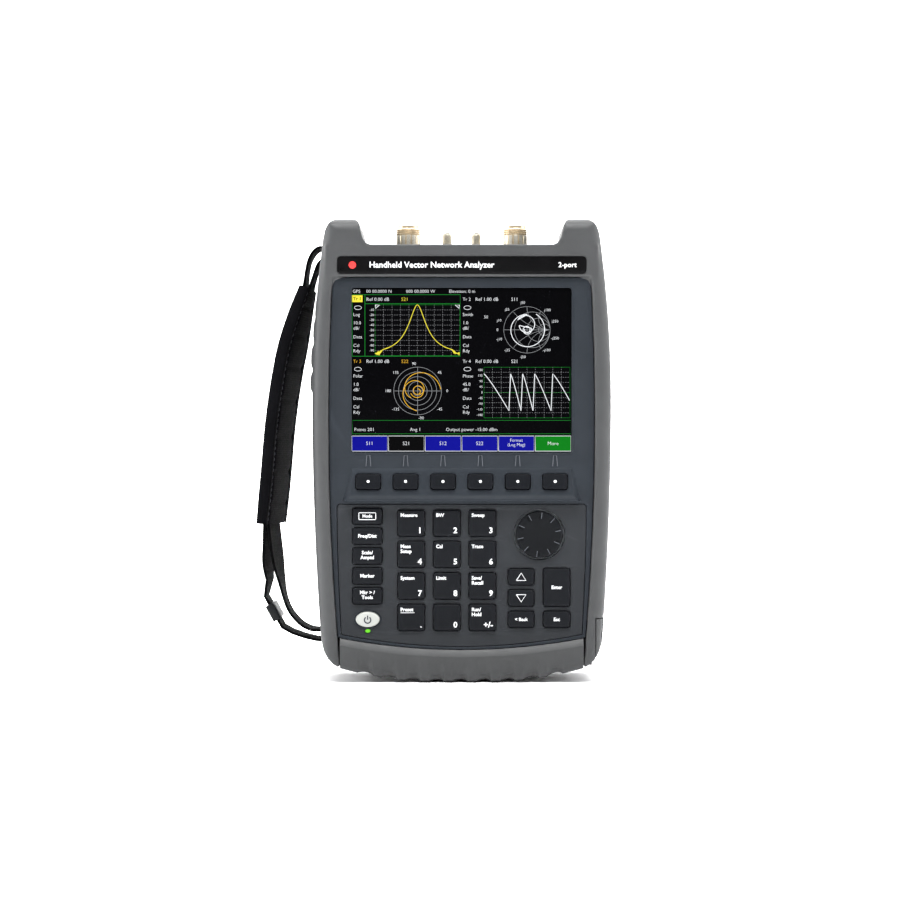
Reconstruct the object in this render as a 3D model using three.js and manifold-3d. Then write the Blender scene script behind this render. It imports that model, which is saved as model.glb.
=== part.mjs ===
// Handheld vector network analyzer: a rugged case with a display, a keypad and a hand strap.
// Millimetres. +Z is up, +X is the operator's right, and the front faces -Y.
// The origin is the middle of the flat under the bottom bumper, which the instrument stands on.
import * as THREE from "three";
import { mergeVertices } from "three/addons/utils/BufferGeometryUtils.js";
import Module from "manifold-3d";

const wasm = await Module();
wasm.setup();

// ---------------------------------------------------------------- driving dimensions
const GAP = 0.3; // clearance between neighbouring pieces
const SEAM = GAP / 2; // each piece's share of a clearance

const FRONT = -36; // front of the rubber bumpers
const BACK = 36; // back of the rubber bumpers
const BEZEL_FACE = -33.2; // front face of the bezel, inside the bumpers
const HOUSING_FACE = 32; // back face of the rear housing, inside the bumpers
const CORE_TOP = 275; // top edge of the bezel and of the rear housing
const HORN_TOP = 291.7; // top of the two protective horns

const WIDEST = 94.3; // largest half width of the case
const WIDEST_HEIGHT = 178;
const UPPER_SIDE_RADIUS = 750; // bow of the side above its widest height
const LOWER_SIDE_RADIUS = 2050; // bow of the side below it
const CASE_CORNER = 8; // rounding of the upright edges, seen from above
const BASE_EDGE = 5; // rounding of the edges under the case, seen from the side

const SEAM_WIDEST = 83.5; // half width of the bezel where it meets the side bumpers
const SEAM_HEIGHT = 165;
const SEAM_RADIUS = 1680;

const BASE_FLAT = 15; // half width of the flat under the bottom bumper
const BASE_RADIUS = 218; // the underside curves up outside the flat
const BOOT_TOP = 20.5; // top edge of the bottom bumper, in the middle
const BOOT_TOP_RADIUS = 405;

const WALL = 3.7;
const CAVITY = { front: BEZEL_FACE + WALL, back: HOUSING_FACE - 3, bottom: 41, top: 262 };
const BATTERY = { left: -66, right: 79.5, front: -24.4, back: 28.4, bottom: 12.2, top: 36.4 };
const BATTERY_DOOR = { inner: 82.8, bottom: 11.3, top: 41, halfDepth: 30 };
const LATCH = { y: 14, z: 27, depth: 13, height: 8, inner: 83.2, outer: 90 };
const TONGUE = { halfWidth: 71, halfDepth: 29.2, bottom: 8.6, top: 40 };

const TOP_PANEL = { halfWidth: 58, front: -26, back: 26, bottom: 264.8, top: 268 };
const PORT_SPACING = 68.6; // between the two test ports
const ANTENNA_SPACING = 18.6; // between the two small connectors

const SCREEN = { halfWidth: 69.2, bottom: 144.3, top: 248 };
const TITLE = { halfWidth: 78, bottom: 256.5, top: 267.3 };
const BROW_BOTTOM = 254.6; // the bezel stands out as far as the bumpers above this height

const KEY_PROUD = 1.7; // how far a key stands out of the face round it
const KEY_DEPTH = 4.7; // from a key's face to its back
const KEY_CORNER = 1.6;
const KEY_CLEARANCE = 0.45;
const LEDGE = { top: 134.7, crest: 118.4, bottom: 113.8, rise: 3, topHalf: 69.2, bottomHalf: 74.5 };
const KNOB = { x: 48.7, z: 92.9, radius: 15.1, recess: 15.9, face: -36, back: -30.2 };

const STRAP_WIDTH = 25;
const STRAP_LEAN = 0.2; // how far the strap's front edge stands further out than its back edge
const WEBBING = 1.6; // thickness of the webbing
const SLEEVE = { width: 48, thickness: 8.5, endThickness: 7.5 };
const SLEEVE_PATH = [[-98.9, 249.6], [-104.6, 229], [-111.3, 198], [-116.3, 164], [-119.4, 129], [-122.3, 99.2]];
const BUCKLE = { width: 31, depth: 5.6, length: 11, corner: 1.6, play: 0.35 };
const BUCKLE_START = new THREE.Vector2(-125.5, 52.5); // the webbing runs straight between these two points
const BUCKLE_END = new THREE.Vector2(-114.5, 32.8);
const LUG_RADIUS = 1.7;
const UPPER_LUG = new THREE.Vector2(-85.4, 271.3);
const LOWER_LUG = new THREE.Vector2(-85.8, 28.4);
const LUG_POCKET_HALF = 14.6;

const STAND = { halfWidth: 47, top: 190, bottom: 92, thickness: 3, pin: 1.2, lug: 6 };
const STAND_AXIS_Y = HOUSING_FACE + GAP + STAND.thickness / 2;

const RIGHT_DOOR = { side: 1, bottom: 118, top: 226, free: -12, hinge: 12, thickness: 2.2 };
const LEFT_DOOR = { side: -1, bottom: 52, top: 88, free: 13, hinge: 25.5, thickness: 2.2 };

// ---------------------------------------------------------------- colours and finishes
const FINISH = {
  bumper: { color: 0x55575a, roughness: 0.72, metalness: 0 },
  bezel: { color: 0x4a4e53, roughness: 0.6, metalness: 0 },
  housing: { color: 0x3f4246, roughness: 0.65, metalness: 0 },
  key: { color: 0x26292d, roughness: 0.55, metalness: 0 },
  powerKey: { color: 0xe8e8e6, roughness: 0.5, metalness: 0 },
  knob: { color: 0x1c1e21, roughness: 0.5, metalness: 0 },
  strip: { color: 0x101114, roughness: 0.35, metalness: 0 },
  glass: { color: 0x0a0b0c, roughness: 0.1, metalness: 0 },
  panel: { color: 0x3a3d41, roughness: 0.5, metalness: 0.2 },
  nickel: { color: 0xc9c4b4, roughness: 0.25, metalness: 1 },
  board: { color: 0x1f5a34, roughness: 0.6, metalness: 0 },
  shield: { color: 0xb5b8bb, roughness: 0.4, metalness: 0.9 },
  battery: { color: 0x222428, roughness: 0.6, metalness: 0 },
  silicone: { color: 0x2c2f33, roughness: 0.8, metalness: 0 },
  fabric: { color: 0x17181a, roughness: 0.9, metalness: 0 },
  plastic: { color: 0x121315, roughness: 0.45, metalness: 0 },
  steel: { color: 0x8d9195, roughness: 0.35, metalness: 1 },
  led: { color: 0x2bd14f, roughness: 0.3, metalness: 0 },
};

// ---------------------------------------------------------------- helpers
const object = new THREE.Group();

function addPiece(name, geometry, finish) {
  const mesh = new THREE.Mesh(geometry, new THREE.MeshStandardMaterial(FINISH[finish]));
  mesh.name = name;
  object.add(mesh);
}

// A solid for joining and cutting, from a closed geometry.
function solid(geometry) {
  const bare = geometry.index ? geometry.toNonIndexed() : geometry.clone();
  bare.deleteAttribute("normal");
  bare.deleteAttribute("uv");
  const merged = mergeVertices(bare, 1e-4);
  return new wasm.Manifold(
    new wasm.Mesh({
      numProp: 3,
      vertProperties: merged.attributes.position.array,
      triVerts: new Uint32Array(merged.index.array),
    }),
  );
}

function geometryOf(body) {
  const mesh = body.getMesh();
  const geometry = new THREE.BufferGeometry();
  geometry.setAttribute("position", new THREE.BufferAttribute(mesh.vertProperties, mesh.numProp));
  geometry.setIndex(new THREE.BufferAttribute(mesh.triVerts, 1));
  return geometry;
}

const joinAll = (bodies) => bodies.reduce((joined, body) => joined.add(body));

// A block between two X, two Y and two Z values.
function block(x, y, z) {
  const geometry = new THREE.BoxGeometry(x[1] - x[0], y[1] - y[0], z[1] - z[0]);
  return geometry.translate((x[0] + x[1]) / 2, (y[0] + y[1]) / 2, (z[0] + z[1]) / 2);
}

const cutter = (x, y, z) => solid(block(x, y, z));

// Extrudes an outline drawn in X and Z between two Y values.
function alongY(shape, front, back, curveSegments = 2) {
  const options = { depth: back - front, bevelEnabled: false, curveSegments };
  return new THREE.ExtrudeGeometry(shape, options).rotateX(Math.PI / 2).translate(0, back, 0);
}

// Extrudes an outline drawn in Y and Z between two X values.
function alongX(shape, left, right, curveSegments = 4) {
  const options = { depth: right - left, bevelEnabled: false, curveSegments };
  const turn = new THREE.Matrix4().makeBasis(
    new THREE.Vector3(0, 1, 0),
    new THREE.Vector3(0, 0, 1),
    new THREE.Vector3(1, 0, 0),
  );
  return new THREE.ExtrudeGeometry(shape, options).applyMatrix4(turn).translate(left, 0, 0);
}

// A turned piece standing on Z, from radius and height pairs.
function turned(profile, segments) {
  const points = profile.map(([radius, height]) => new THREE.Vector2(radius, height));
  return new THREE.LatheGeometry(points, segments).rotateX(Math.PI / 2);
}

function roundedRectangle(width, height, corner) {
  const shape = new THREE.Shape();
  const right = width / 2 - corner;
  const top = height / 2 - corner;
  shape.absarc(right, top, corner, 0, Math.PI / 2);
  shape.absarc(-right, top, corner, Math.PI / 2, Math.PI);
  shape.absarc(-right, -top, corner, Math.PI, 1.5 * Math.PI);
  shape.absarc(right, -top, corner, 1.5 * Math.PI, 2 * Math.PI);
  shape.closePath();
  return shape;
}

function oval(width, height) {
  const shape = new THREE.Shape();
  shape.absellipse(0, 0, width / 2, height / 2, 0, 2 * Math.PI);
  return shape;
}

// A closed skin through rings of points that go anticlockwise seen from above.
function loft(rings) {
  const positions = [];
  const triangle = (...corners) => corners.forEach((c) => positions.push(c.x, c.y, c.z));
  rings.slice(1).forEach((upper, level) => {
    const lower = rings[level];
    upper.forEach((corner, i) => {
      const next = (i + 1) % upper.length;
      triangle(lower[i], lower[next], upper[next]);
      triangle(lower[i], upper[next], corner);
    });
  });
  const bottom = rings[0];
  const top = rings[rings.length - 1];
  for (let i = 1; i < top.length - 1; i += 1) {
    triangle(bottom[0], bottom[i + 1], bottom[i]);
    triangle(top[0], top[i], top[i + 1]);
  }
  const geometry = new THREE.BufferGeometry();
  geometry.setAttribute("position", new THREE.Float32BufferAttribute(positions, 3));
  return geometry;
}

const spread = (from, to, count) =>
  Array.from({ length: count + 1 }, (_, i) => from + ((to - from) * i) / count);

function bezier(points, divisions) {
  const corners = points.map(([x, y]) => new THREE.Vector2(x, y));
  return new THREE.CubicBezierCurve(...corners).getPoints(divisions);
}

// ---------------------------------------------------------------- outlines of the case
function sideHalfWidth(height) {
  const rise = height - WIDEST_HEIGHT;
  const radius = rise > 0 ? UPPER_SIDE_RADIUS : LOWER_SIDE_RADIUS;
  return WIDEST - (rise * rise) / (2 * radius);
}

const seamHalfWidth = (height) => SEAM_WIDEST - (height - SEAM_HEIGHT) ** 2 / (2 * SEAM_RADIUS);

function undersideHeight(x) {
  const past = Math.max(Math.abs(x) - BASE_FLAT, 0);
  return (past * past) / (2 * BASE_RADIUS);
}

const bootTopHeight = (x) => BOOT_TOP + (x * x) / (2 * BOOT_TOP_RADIUS);

const mirrored = (half) => [...half, ...half.map((p) => new THREE.Vector2(-p.x, p.y)).reverse()];

// The front view of the whole case: curved underside, bowed sides and the two horns.
function caseOutline() {
  const cornerStart = 71;
  const cornerTop = 32;
  const hornBase = 276;
  const steps = spread(BASE_FLAT, cornerStart, 5);
  const underside = steps.map((x) => new THREE.Vector2(x, undersideHeight(x)));
  const side = sideHalfWidth(cornerTop);
  const foot = [cornerStart, undersideHeight(cornerStart)];
  const lowerCorner = bezier([foot, [82, 10], [side - 0.6, 16], [side, cornerTop]], 6);
  const flank = spread(cornerTop, hornBase, 10).map((z) => new THREE.Vector2(sideHalfWidth(z), z));
  const shoulder = sideHalfWidth(hornBase);
  const valley = CORE_TOP - SEAM;
  const upperCorner = bezier([[shoulder, hornBase], [shoulder - 0.9, 286], [84, HORN_TOP], [77, HORN_TOP]], 6);
  const hornInside = bezier([[67.5, HORN_TOP], [61.5, HORN_TOP], [65.5, valley], [57, valley]], 6);
  const half = [
    ...underside,
    ...lowerCorner.slice(1),
    ...flank.slice(1),
    ...upperCorner.slice(1),
    ...hornInside,
  ];
  return new THREE.Shape(mirrored(half));
}

// The front view of everything between the side bumpers, up to a height.
function coreOutline(clearance, top) {
  const half = spread(-5, top, 8).map((z) => new THREE.Vector2(seamHalfWidth(z) + clearance, z));
  return new THREE.Shape(mirrored(half));
}

// The front view of everything lower than the bottom bumper's top edge.
function bootOutline(rise) {
  const halfWidth = 90;
  const half = [new THREE.Vector2(halfWidth, -10)];
  half.push(...spread(halfWidth, 0, 6).map((x) => new THREE.Vector2(x, bootTopHeight(x) + rise)));
  half.pop();
  return new THREE.Shape(mirrored(half));
}

// The side view of the case, with its lower and upper edges rounded.
function caseSideOutline() {
  const hornEdge = 9;
  const shape = new THREE.Shape();
  shape.absarc(BACK - hornEdge, HORN_TOP - hornEdge, hornEdge, 0, Math.PI / 2);
  shape.absarc(FRONT + hornEdge, HORN_TOP - hornEdge, hornEdge, Math.PI / 2, Math.PI);
  shape.absarc(FRONT + BASE_EDGE, BASE_EDGE, BASE_EDGE, Math.PI, 1.5 * Math.PI);
  shape.absarc(BACK - BASE_EDGE, BASE_EDGE, BASE_EDGE, 1.5 * Math.PI, 2 * Math.PI);
  shape.closePath();
  return shape;
}

// The plan view of the case at one height, as a ring of points.
function caseRing(height) {
  const plan = roundedRectangle(2 * sideHalfWidth(height), BACK - FRONT, CASE_CORNER);
  return plan.getPoints(2).slice(0, -1).map((p) => new THREE.Vector3(p.x, p.y, height));
}

function caseBlock() {
  const rings = spread(-8, 300, 14).map(caseRing);
  return solid(loft(rings))
    .intersect(solid(alongY(caseOutline(), FRONT, BACK)))
    .intersect(solid(alongX(caseSideOutline(), -WIDEST - 1, WIDEST + 1, 3)));
}

// ---------------------------------------------------------------- shared cavities
const batteryBay = cutter(
  [BATTERY.left - 1, WIDEST + 5],
  [BATTERY.front - 0.6, BATTERY.back + 0.6],
  [BATTERY.bottom - 0.6, BATTERY.top + 0.6],
);

function mainCavity() {
  const half = [CAVITY.bottom, 90, SEAM_HEIGHT, 215, CAVITY.top].map(
    (z) => new THREE.Vector2(seamHalfWidth(z) - WALL, z),
  );
  return solid(alongY(new THREE.Shape(mirrored(half)), CAVITY.front, CAVITY.back));
}

// The recess between the horns that holds the top panel, and the opening under it.
function topRecess() {
  const { halfWidth, front, back, bottom } = TOP_PANEL;
  const ledge = 4;
  const recess = cutter(
    [-halfWidth - GAP, halfWidth + GAP],
    [front - GAP, back + GAP],
    [bottom - GAP, HORN_TOP + 5],
  );
  const opening = cutter(
    [-halfWidth + ledge, halfWidth - ledge],
    [front + ledge, back - ledge],
    [CAVITY.top - 1, bottom],
  );
  return recess.add(opening);
}

// ---------------------------------------------------------------- keys
const LEDGE_TILT = Math.atan2(LEDGE.rise, LEDGE.top - LEDGE.crest);
const SOFTKEY_HEIGHT = 126;
const SOFTKEY_FACE =
  BEZEL_FACE - (LEDGE.rise * (LEDGE.top - SOFTKEY_HEIGHT)) / (LEDGE.top - LEDGE.crest);

function keyRow(names, x, heights, width, height) {
  return names.map((name, i) => ({ name, x, z: heights[i], width, height }));
}

const softkeys = spread(-58.6, 58.6, 5).map((x, i) => ({
  name: `softkey_${i + 1}`,
  x,
  z: SOFTKEY_HEIGHT,
  width: 15.4,
  height: 9.6,
  tilted: true,
}));

const functionKeys = keyRow(
  ["mode_key", "frequency_key", "scale_key", "marker_key", "tools_key"],
  -59.2,
  spread(104.5, 54.5, 4),
  18.3,
  10,
);

const NUMBER_ROWS = [100.1, 80.5, 60.7, 40.9];
const NUMBER_COLUMNS = [-31.6, -9.3, 13];
const numberKeys = [
  ["digit_1_key", "digit_2_key", "digit_3_key"],
  ["digit_4_key", "digit_5_key", "digit_6_key"],
  ["digit_7_key", "digit_8_key", "digit_9_key"],
  ["point_key", "digit_0_key", "sign_key"],
].flatMap((names, row) =>
  names.map((name, column) => ({
    name,
    x: NUMBER_COLUMNS[column],
    z: NUMBER_ROWS[row],
    width: 16.6,
    height: 16.3,
  })),
);

const editKeys = [
  ...keyRow(["up_key", "down_key", "back_key"], 37.3, [66.4, 53.1, 39.7], 16, 10),
  { name: "enter_key", x: 59.6, z: 59.8, width: 16.5, height: 23.7 },
  { name: "escape_key", x: 59.6, z: 39.7, width: 16.5, height: 10 },
];

const powerKey = { name: "power_key", x: -59, z: 39.7, width: 15, height: 9.6, oval: true };
const powerLed = { name: "power_led", x: -59, z: 32.3, width: 3.1, height: 1.9, oval: true };

const keys = [...softkeys, ...functionKeys, ...numberKeys, ...editKeys, powerKey];

// A key's body, or its hole with a clearance, from its face at `front` to its back at `back`,
// both counted from the surface round it.
function keyShape(key, clearance, front, back) {
  const width = key.width + 2 * clearance;
  const height = key.height + 2 * clearance;
  const outline = key.oval
    ? oval(width, height)
    : roundedRectangle(width, height, KEY_CORNER + clearance);
  const geometry = alongY(outline, front, back, key.oval ? 8 : 2);
  if (key.tilted) geometry.rotateX(-LEDGE_TILT);
  return geometry.translate(key.x, key.tilted ? SOFTKEY_FACE : BEZEL_FACE, key.z);
}

const keyBody = (key) => keyShape(key, 0, -KEY_PROUD, KEY_DEPTH - KEY_PROUD);
const keyHole = (key) => solid(keyShape(key, KEY_CLEARANCE, -8, WALL + 3));

// ---------------------------------------------------------------- front bezel
// The raised ledge under the display, which carries the softkeys.
function softkeyLedge() {
  const behind = BEZEL_FACE + 1;
  const profile = new THREE.Shape();
  profile.moveTo(behind, LEDGE.top);
  profile.lineTo(BEZEL_FACE, LEDGE.top);
  profile.lineTo(BEZEL_FACE - LEDGE.rise, LEDGE.crest);
  profile.lineTo(BEZEL_FACE, LEDGE.bottom);
  profile.lineTo(behind, LEDGE.bottom);
  const front = new THREE.Shape([
    new THREE.Vector2(-LEDGE.topHalf, LEDGE.top + 1),
    new THREE.Vector2(-LEDGE.bottomHalf, LEDGE.bottom - 1),
    new THREE.Vector2(LEDGE.bottomHalf, LEDGE.bottom - 1),
    new THREE.Vector2(LEDGE.topHalf, LEDGE.top + 1),
  ]);
  return solid(alongX(profile, -80, 80)).intersect(solid(alongY(front, -50, 0)));
}

function knobHole(radius) {
  const geometry = turned([[0, -8], [radius, -8], [radius, 8], [0, 8]], 36);
  return solid(geometry.rotateX(Math.PI / 2).translate(KNOB.x, BEZEL_FACE, KNOB.z));
}

function displayHole() {
  const { halfWidth, bottom, top } = SCREEN;
  const outline = roundedRectangle(2 * halfWidth, top - bottom, 2);
  return solid(alongY(outline, BEZEL_FACE - 1, 0).translate(0, 0, (top + bottom) / 2));
}

function titleShape(clearance, front, back) {
  const { halfWidth, bottom, top } = TITLE;
  const outline = roundedRectangle(2 * (halfWidth + clearance), top - bottom + 2 * clearance, 2.4);
  return alongY(outline, front, back).translate(0, 0, (top + bottom) / 2);
}

// The space behind the lowest keys for the keypad membrane.
const membranePocket = cutter([-72.8, 72.8], [CAVITY.front, CAVITY.front + 1.9], [28.5, 60]);

// The casing between the side bumpers from one Y value to another, with its foot inside the boot.
function coreShell(whole, front, back) {
  const above = solid(alongY(coreOutline(-SEAM, CORE_TOP - SEAM), front, back))
    .intersect(whole)
    .subtract(solid(alongY(bootOutline(GAP), FRONT - 1, BACK + 1)));
  const foot = cutter(
    [-TONGUE.halfWidth, TONGUE.halfWidth],
    [Math.max(front, -TONGUE.halfDepth), Math.min(back, TONGUE.halfDepth)],
    [TONGUE.bottom, TONGUE.top],
  );
  return above.add(foot).subtract(mainCavity()).subtract(batteryBay).subtract(topRecess());
}

// The bar over the display that joins the two bumpers' front faces and carries the title strip.
function brow(whole) {
  const bar = cutter([-90, 90], [FRONT, BEZEL_FACE + 0.5], [BROW_BOTTOM, CORE_TOP - SEAM]);
  return solid(alongY(coreOutline(-SEAM, CORE_TOP - SEAM), FRONT, 0)).intersect(bar).intersect(whole);
}

function frontBezel(whole) {
  const holes = [...keys, powerLed].map(keyHole);
  return coreShell(whole, BEZEL_FACE, -SEAM)
    .add(softkeyLedge())
    .add(brow(whole))
    .subtract(membranePocket)
    .subtract(joinAll(holes))
    .subtract(knobHole(KNOB.recess))
    .subtract(displayHole())
    .subtract(solid(titleShape(GAP, FRONT - 1, FRONT + 0.8)));
}

// ---------------------------------------------------------------- rear housing and stand
// One of the two lugs that hold the ends of the stand's pins.
function standLug(side) {
  const inner = STAND.halfWidth + GAP;
  const x = [side * inner, side * (inner + STAND.lug)].sort((a, b) => a - b);
  return cutter(x, [HOUSING_FACE - 1, STAND_AXIS_Y + 2], [STAND.top - 3, STAND.top + 3]);
}

function standPin(radius, halfLength) {
  const geometry = new THREE.CylinderGeometry(radius, radius, 2 * halfLength, 16);
  return solid(geometry.rotateZ(Math.PI / 2).translate(0, STAND_AXIS_Y, STAND.top));
}

function rearHousing(whole) {
  const pinLength = STAND.halfWidth + GAP + STAND.lug - 1;
  const behindFace = cutter([-70, 70], [HOUSING_FACE + 0.1, BACK], [STAND.top - 10, STAND.top + 10]);
  return coreShell(whole, SEAM, HOUSING_FACE)
    .add(standLug(-1))
    .add(standLug(1))
    .subtract(standPin(STAND.pin + GAP, pinLength).intersect(behindFace));
}

// The fold-out stand: a flat plate with a round upper edge that turns on two pins.
function tiltStand() {
  const half = STAND.thickness / 2;
  const profile = new THREE.Shape();
  profile.absarc(STAND_AXIS_Y, STAND.top, half, 0, Math.PI);
  profile.lineTo(STAND_AXIS_Y - half, STAND.bottom);
  profile.lineTo(STAND_AXIS_Y, STAND.bottom);
  profile.lineTo(STAND_AXIS_Y + half, STAND.bottom + 2);
  const plate = solid(alongX(profile, -STAND.halfWidth, STAND.halfWidth));
  return plate.add(standPin(STAND.pin, STAND.halfWidth + GAP + STAND.lug - 2));
}

// ---------------------------------------------------------------- rubber bumpers
// The pocket in the left bumper that a strap lug stands in.
function lugPocket(lug) {
  return cutter(
    [-WIDEST - 5, lug.x + 4.4],
    [-LUG_POCKET_HALF, LUG_POCKET_HALF],
    [lug.y - 6.6, lug.y + 6.6],
  );
}

function doorTilt(door) {
  return Math.atan2(sideHalfWidth(door.top) - sideHalfWidth(door.bottom), door.top - door.bottom);
}

// A port door, or its pocket with a clearance: a slab whose hinge edge is round, so that it turns
// in place about the middle of its own thickness.
function doorShape(door, clearance) {
  const half = door.thickness / 2;
  const reach = half + clearance;
  const free = door.free - clearance;
  const plan = new THREE.Shape();
  plan.moveTo(-reach, free);
  plan.lineTo(clearance > 0 ? half + 4 : half, free);
  if (clearance > 0) plan.lineTo(half + 4, door.hinge - half + reach);
  else plan.absarc(0, door.hinge - half, half, 0, Math.PI);
  plan.lineTo(-reach, door.hinge - half + (clearance > 0 ? reach : 0));
  const height = door.top - door.bottom + 2 * clearance;
  const options = { depth: height, bevelEnabled: false, curveSegments: 5 };
  const geometry = new THREE.ExtrudeGeometry(plan, options).translate(0, 0, -clearance);
  geometry.rotateY(doorTilt(door)).translate(sideHalfWidth(door.bottom) - half + 0.5, 0, door.bottom);
  return door.side > 0 ? geometry : mirrorX(geometry);
}

// The mirror image of a geometry without an index, with its faces still pointing out.
function mirrorX(geometry) {
  const position = geometry.getAttribute("position");
  const corner = new THREE.Vector3();
  const positions = [];
  for (let i = 0; i < position.count; i += 3)
    for (const offset of [0, 2, 1]) {
      corner.fromBufferAttribute(position, i + offset);
      positions.push(-corner.x, corner.y, corner.z);
    }
  const image = new THREE.BufferGeometry();
  image.setAttribute("position", new THREE.Float32BufferAttribute(positions, 3));
  return image;
}

function sideBumpers(whole) {
  const shell = whole.subtract(solid(alongY(coreOutline(SEAM, CORE_TOP + SEAM), FRONT - 1, BACK + 1)));
  const halfSpace = (side) => cutter(side < 0 ? [-120, 0] : [0, 120], [-60, 60], [-20, 320]);
  const left = shell
    .intersect(halfSpace(-1))
    .subtract(lugPocket(UPPER_LUG))
    .subtract(lugPocket(LOWER_LUG))
    .subtract(solid(doorShape(LEFT_DOOR, GAP)));
  const right = shell
    .intersect(halfSpace(1))
    .subtract(doorOpening(GAP))
    .subtract(solid(doorShape(RIGHT_DOOR, GAP)));
  return { left, right };
}

function doorOpening(clearance) {
  const { bottom, top, halfDepth } = BATTERY_DOOR;
  return cutter(
    [BATTERY_DOOR.inner - 20, WIDEST + 5],
    [-halfDepth - clearance, halfDepth + clearance],
    [bottom - clearance, top + clearance],
  );
}

// Nine finger grooves, which run down the front of the lower edge and a little way under it.
function bumperGrooves() {
  const spacing = 14.85;
  const radius = 6;
  const slope = 0.24; // how the front part of a groove runs out upwards
  const frontDepth = 2.4;
  const underDepth = 1.2;
  const underEnd = -17;
  return joinAll(
    spread(-4, 4, 8).flatMap((step) => {
      const x = step * spacing;
      const floor = undersideHeight(x);
      const front = new THREE.CylinderGeometry(radius, radius, 60, 16);
      front.rotateX(-slope).translate(x, FRONT - radius + frontDepth, floor);
      const under = new THREE.CylinderGeometry(radius, radius, underEnd - FRONT + 5, 16);
      under.translate(x, (underEnd + FRONT - 5) / 2, floor - radius + underDepth);
      return [solid(front), solid(under)];
    }),
  );
}

function bottomBumper(whole) {
  const boot = solid(alongY(bootOutline(0), FRONT - 1, BACK + 1));
  const column = solid(alongY(coreOutline(-SEAM, 60), FRONT - 1, BACK + 1));
  const footRoom = cutter(
    [-TONGUE.halfWidth - GAP, TONGUE.halfWidth + GAP],
    [-TONGUE.halfDepth - GAP, TONGUE.halfDepth + GAP],
    [TONGUE.bottom - GAP, TONGUE.top],
  );
  return whole
    .intersect(boot)
    .intersect(column)
    .subtract(footRoom)
    .subtract(batteryBay)
    .subtract(bumperGrooves());
}

// ---------------------------------------------------------------- battery door and latch
function latchShape(clearance) {
  return solid(
    block(
      [LATCH.inner - 3 * clearance, LATCH.outer],
      [LATCH.y - LATCH.depth / 2 - clearance, LATCH.y + LATCH.depth / 2 + clearance],
      [LATCH.z - LATCH.height / 2 - clearance, LATCH.z + LATCH.height / 2 + clearance],
    ),
  );
}

function batteryDoor(whole) {
  const { inner, bottom, top, halfDepth } = BATTERY_DOOR;
  const slab = cutter([inner, WIDEST + 5], [-halfDepth, halfDepth], [bottom, top]);
  return whole.intersect(slab).subtract(latchShape(GAP));
}

// ---------------------------------------------------------------- top connectors
function topPanel() {
  const { halfWidth, front, back, bottom, top } = TOP_PANEL;
  const plate = cutter([-halfWidth, halfWidth], [front, back], [bottom, top]);
  const hole = (x, radius) => {
    const geometry = new THREE.CylinderGeometry(radius, radius, 20, 20);
    return solid(geometry.rotateX(Math.PI / 2).translate(x, 0, top));
  };
  return plate.subtract(
    joinAll([
      hole(-PORT_SPACING / 2, 5.4),
      hole(PORT_SPACING / 2, 5.4),
      hole(-ANTENNA_SPACING / 2, 3),
      hole(ANTENNA_SPACING / 2, 3),
    ]),
  );
}

// A type N jack: stem, flange, threaded barrel, and the contact down in its mouth.
function portConnector(x) {
  const profile = [
    [0, -8], [5, -8], [5, GAP], [9.4, GAP], [9.4, 3.4], [7.95, 3.4], [7.95, 22],
    [6.3, 22], [6.3, 13], [1.5, 13], [1.5, 19.5], [0, 19.5],
  ];
  return turned(profile, 28).translate(x, 0, TOP_PANEL.top);
}

// A small SMA jack of the same build.
function antennaConnector(x) {
  const profile = [
    [0, -6], [2.6, -6], [2.6, GAP], [4.6, GAP], [4.6, 2.6], [3.17, 2.6], [3.17, 17.5],
    [2.3, 17.5], [2.3, 14], [0.7, 14], [0.7, 16.5], [0, 16.5],
  ];
  return turned(profile, 18).translate(x, 0, TOP_PANEL.top);
}

// ---------------------------------------------------------------- knob
// A disc with a shaft, turned to face the front.
function knob() {
  const { radius, face, back } = KNOB;
  const shaftEnd = -22.5;
  const profile = [
    [0, -shaftEnd], [3, -shaftEnd], [3, -back], [radius, -back], [radius, -face - 0.8],
    [radius - 0.8, -face], [0, -face],
  ];
  return turned(profile, 40).rotateX(Math.PI / 2).translate(KNOB.x, 0, KNOB.z);
}

// ---------------------------------------------------------------- hand strap
// The sideways shift of the strap for each millimetre of Y: nothing at the lugs, most on the sleeve.
function leanAt(height) {
  const below = THREE.MathUtils.smoothstep(266 - height, 0, 60);
  const above = THREE.MathUtils.smoothstep(height, 50, 80);
  return STRAP_LEAN * below * above;
}

function lean(geometry) {
  const position = geometry.getAttribute("position");
  for (let i = 0; i < position.count; i += 1)
    position.setX(i, position.getX(i) + leanAt(position.getZ(i)) * position.getY(i));
  return geometry;
}

// The edge view of a band along a list of points. thicknessAt gives its thickness for the share of
// the path already covered.
function bandOutline(path, thicknessAt) {
  const halfAt = (i) => thicknessAt(i / (path.length - 1)) / 2;
  const normals = path.map((point, i) => {
    const before = path[Math.max(i - 1, 0)];
    const after = path[Math.min(i + 1, path.length - 1)];
    const along = new THREE.Vector2().subVectors(after, before).normalize();
    return new THREE.Vector2(-along.y, along.x);
  });
  const edge = (side) => path.map((p, i) => p.clone().addScaledVector(normals[i], side * halfAt(i)));
  return new THREE.Shape([...edge(1), ...edge(-1).reverse()]);
}

function smoothPath(points, divisions) {
  const corners = points.map(([x, z]) => new THREE.Vector2(x, z));
  return new THREE.SplineCurve(corners).getPoints(divisions);
}

// The part of a band that goes round the inner side of a lug, from one angle to another.
function roundLug(lug, from, to) {
  const radius = LUG_RADIUS + GAP + WEBBING / 2 + 0.1;
  return spread(from, to, 8).map(
    (angle) => new THREE.Vector2(lug.x + radius * Math.cos(angle), lug.y + radius * Math.sin(angle)),
  );
}

const webbingThickness = () => WEBBING;

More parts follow.
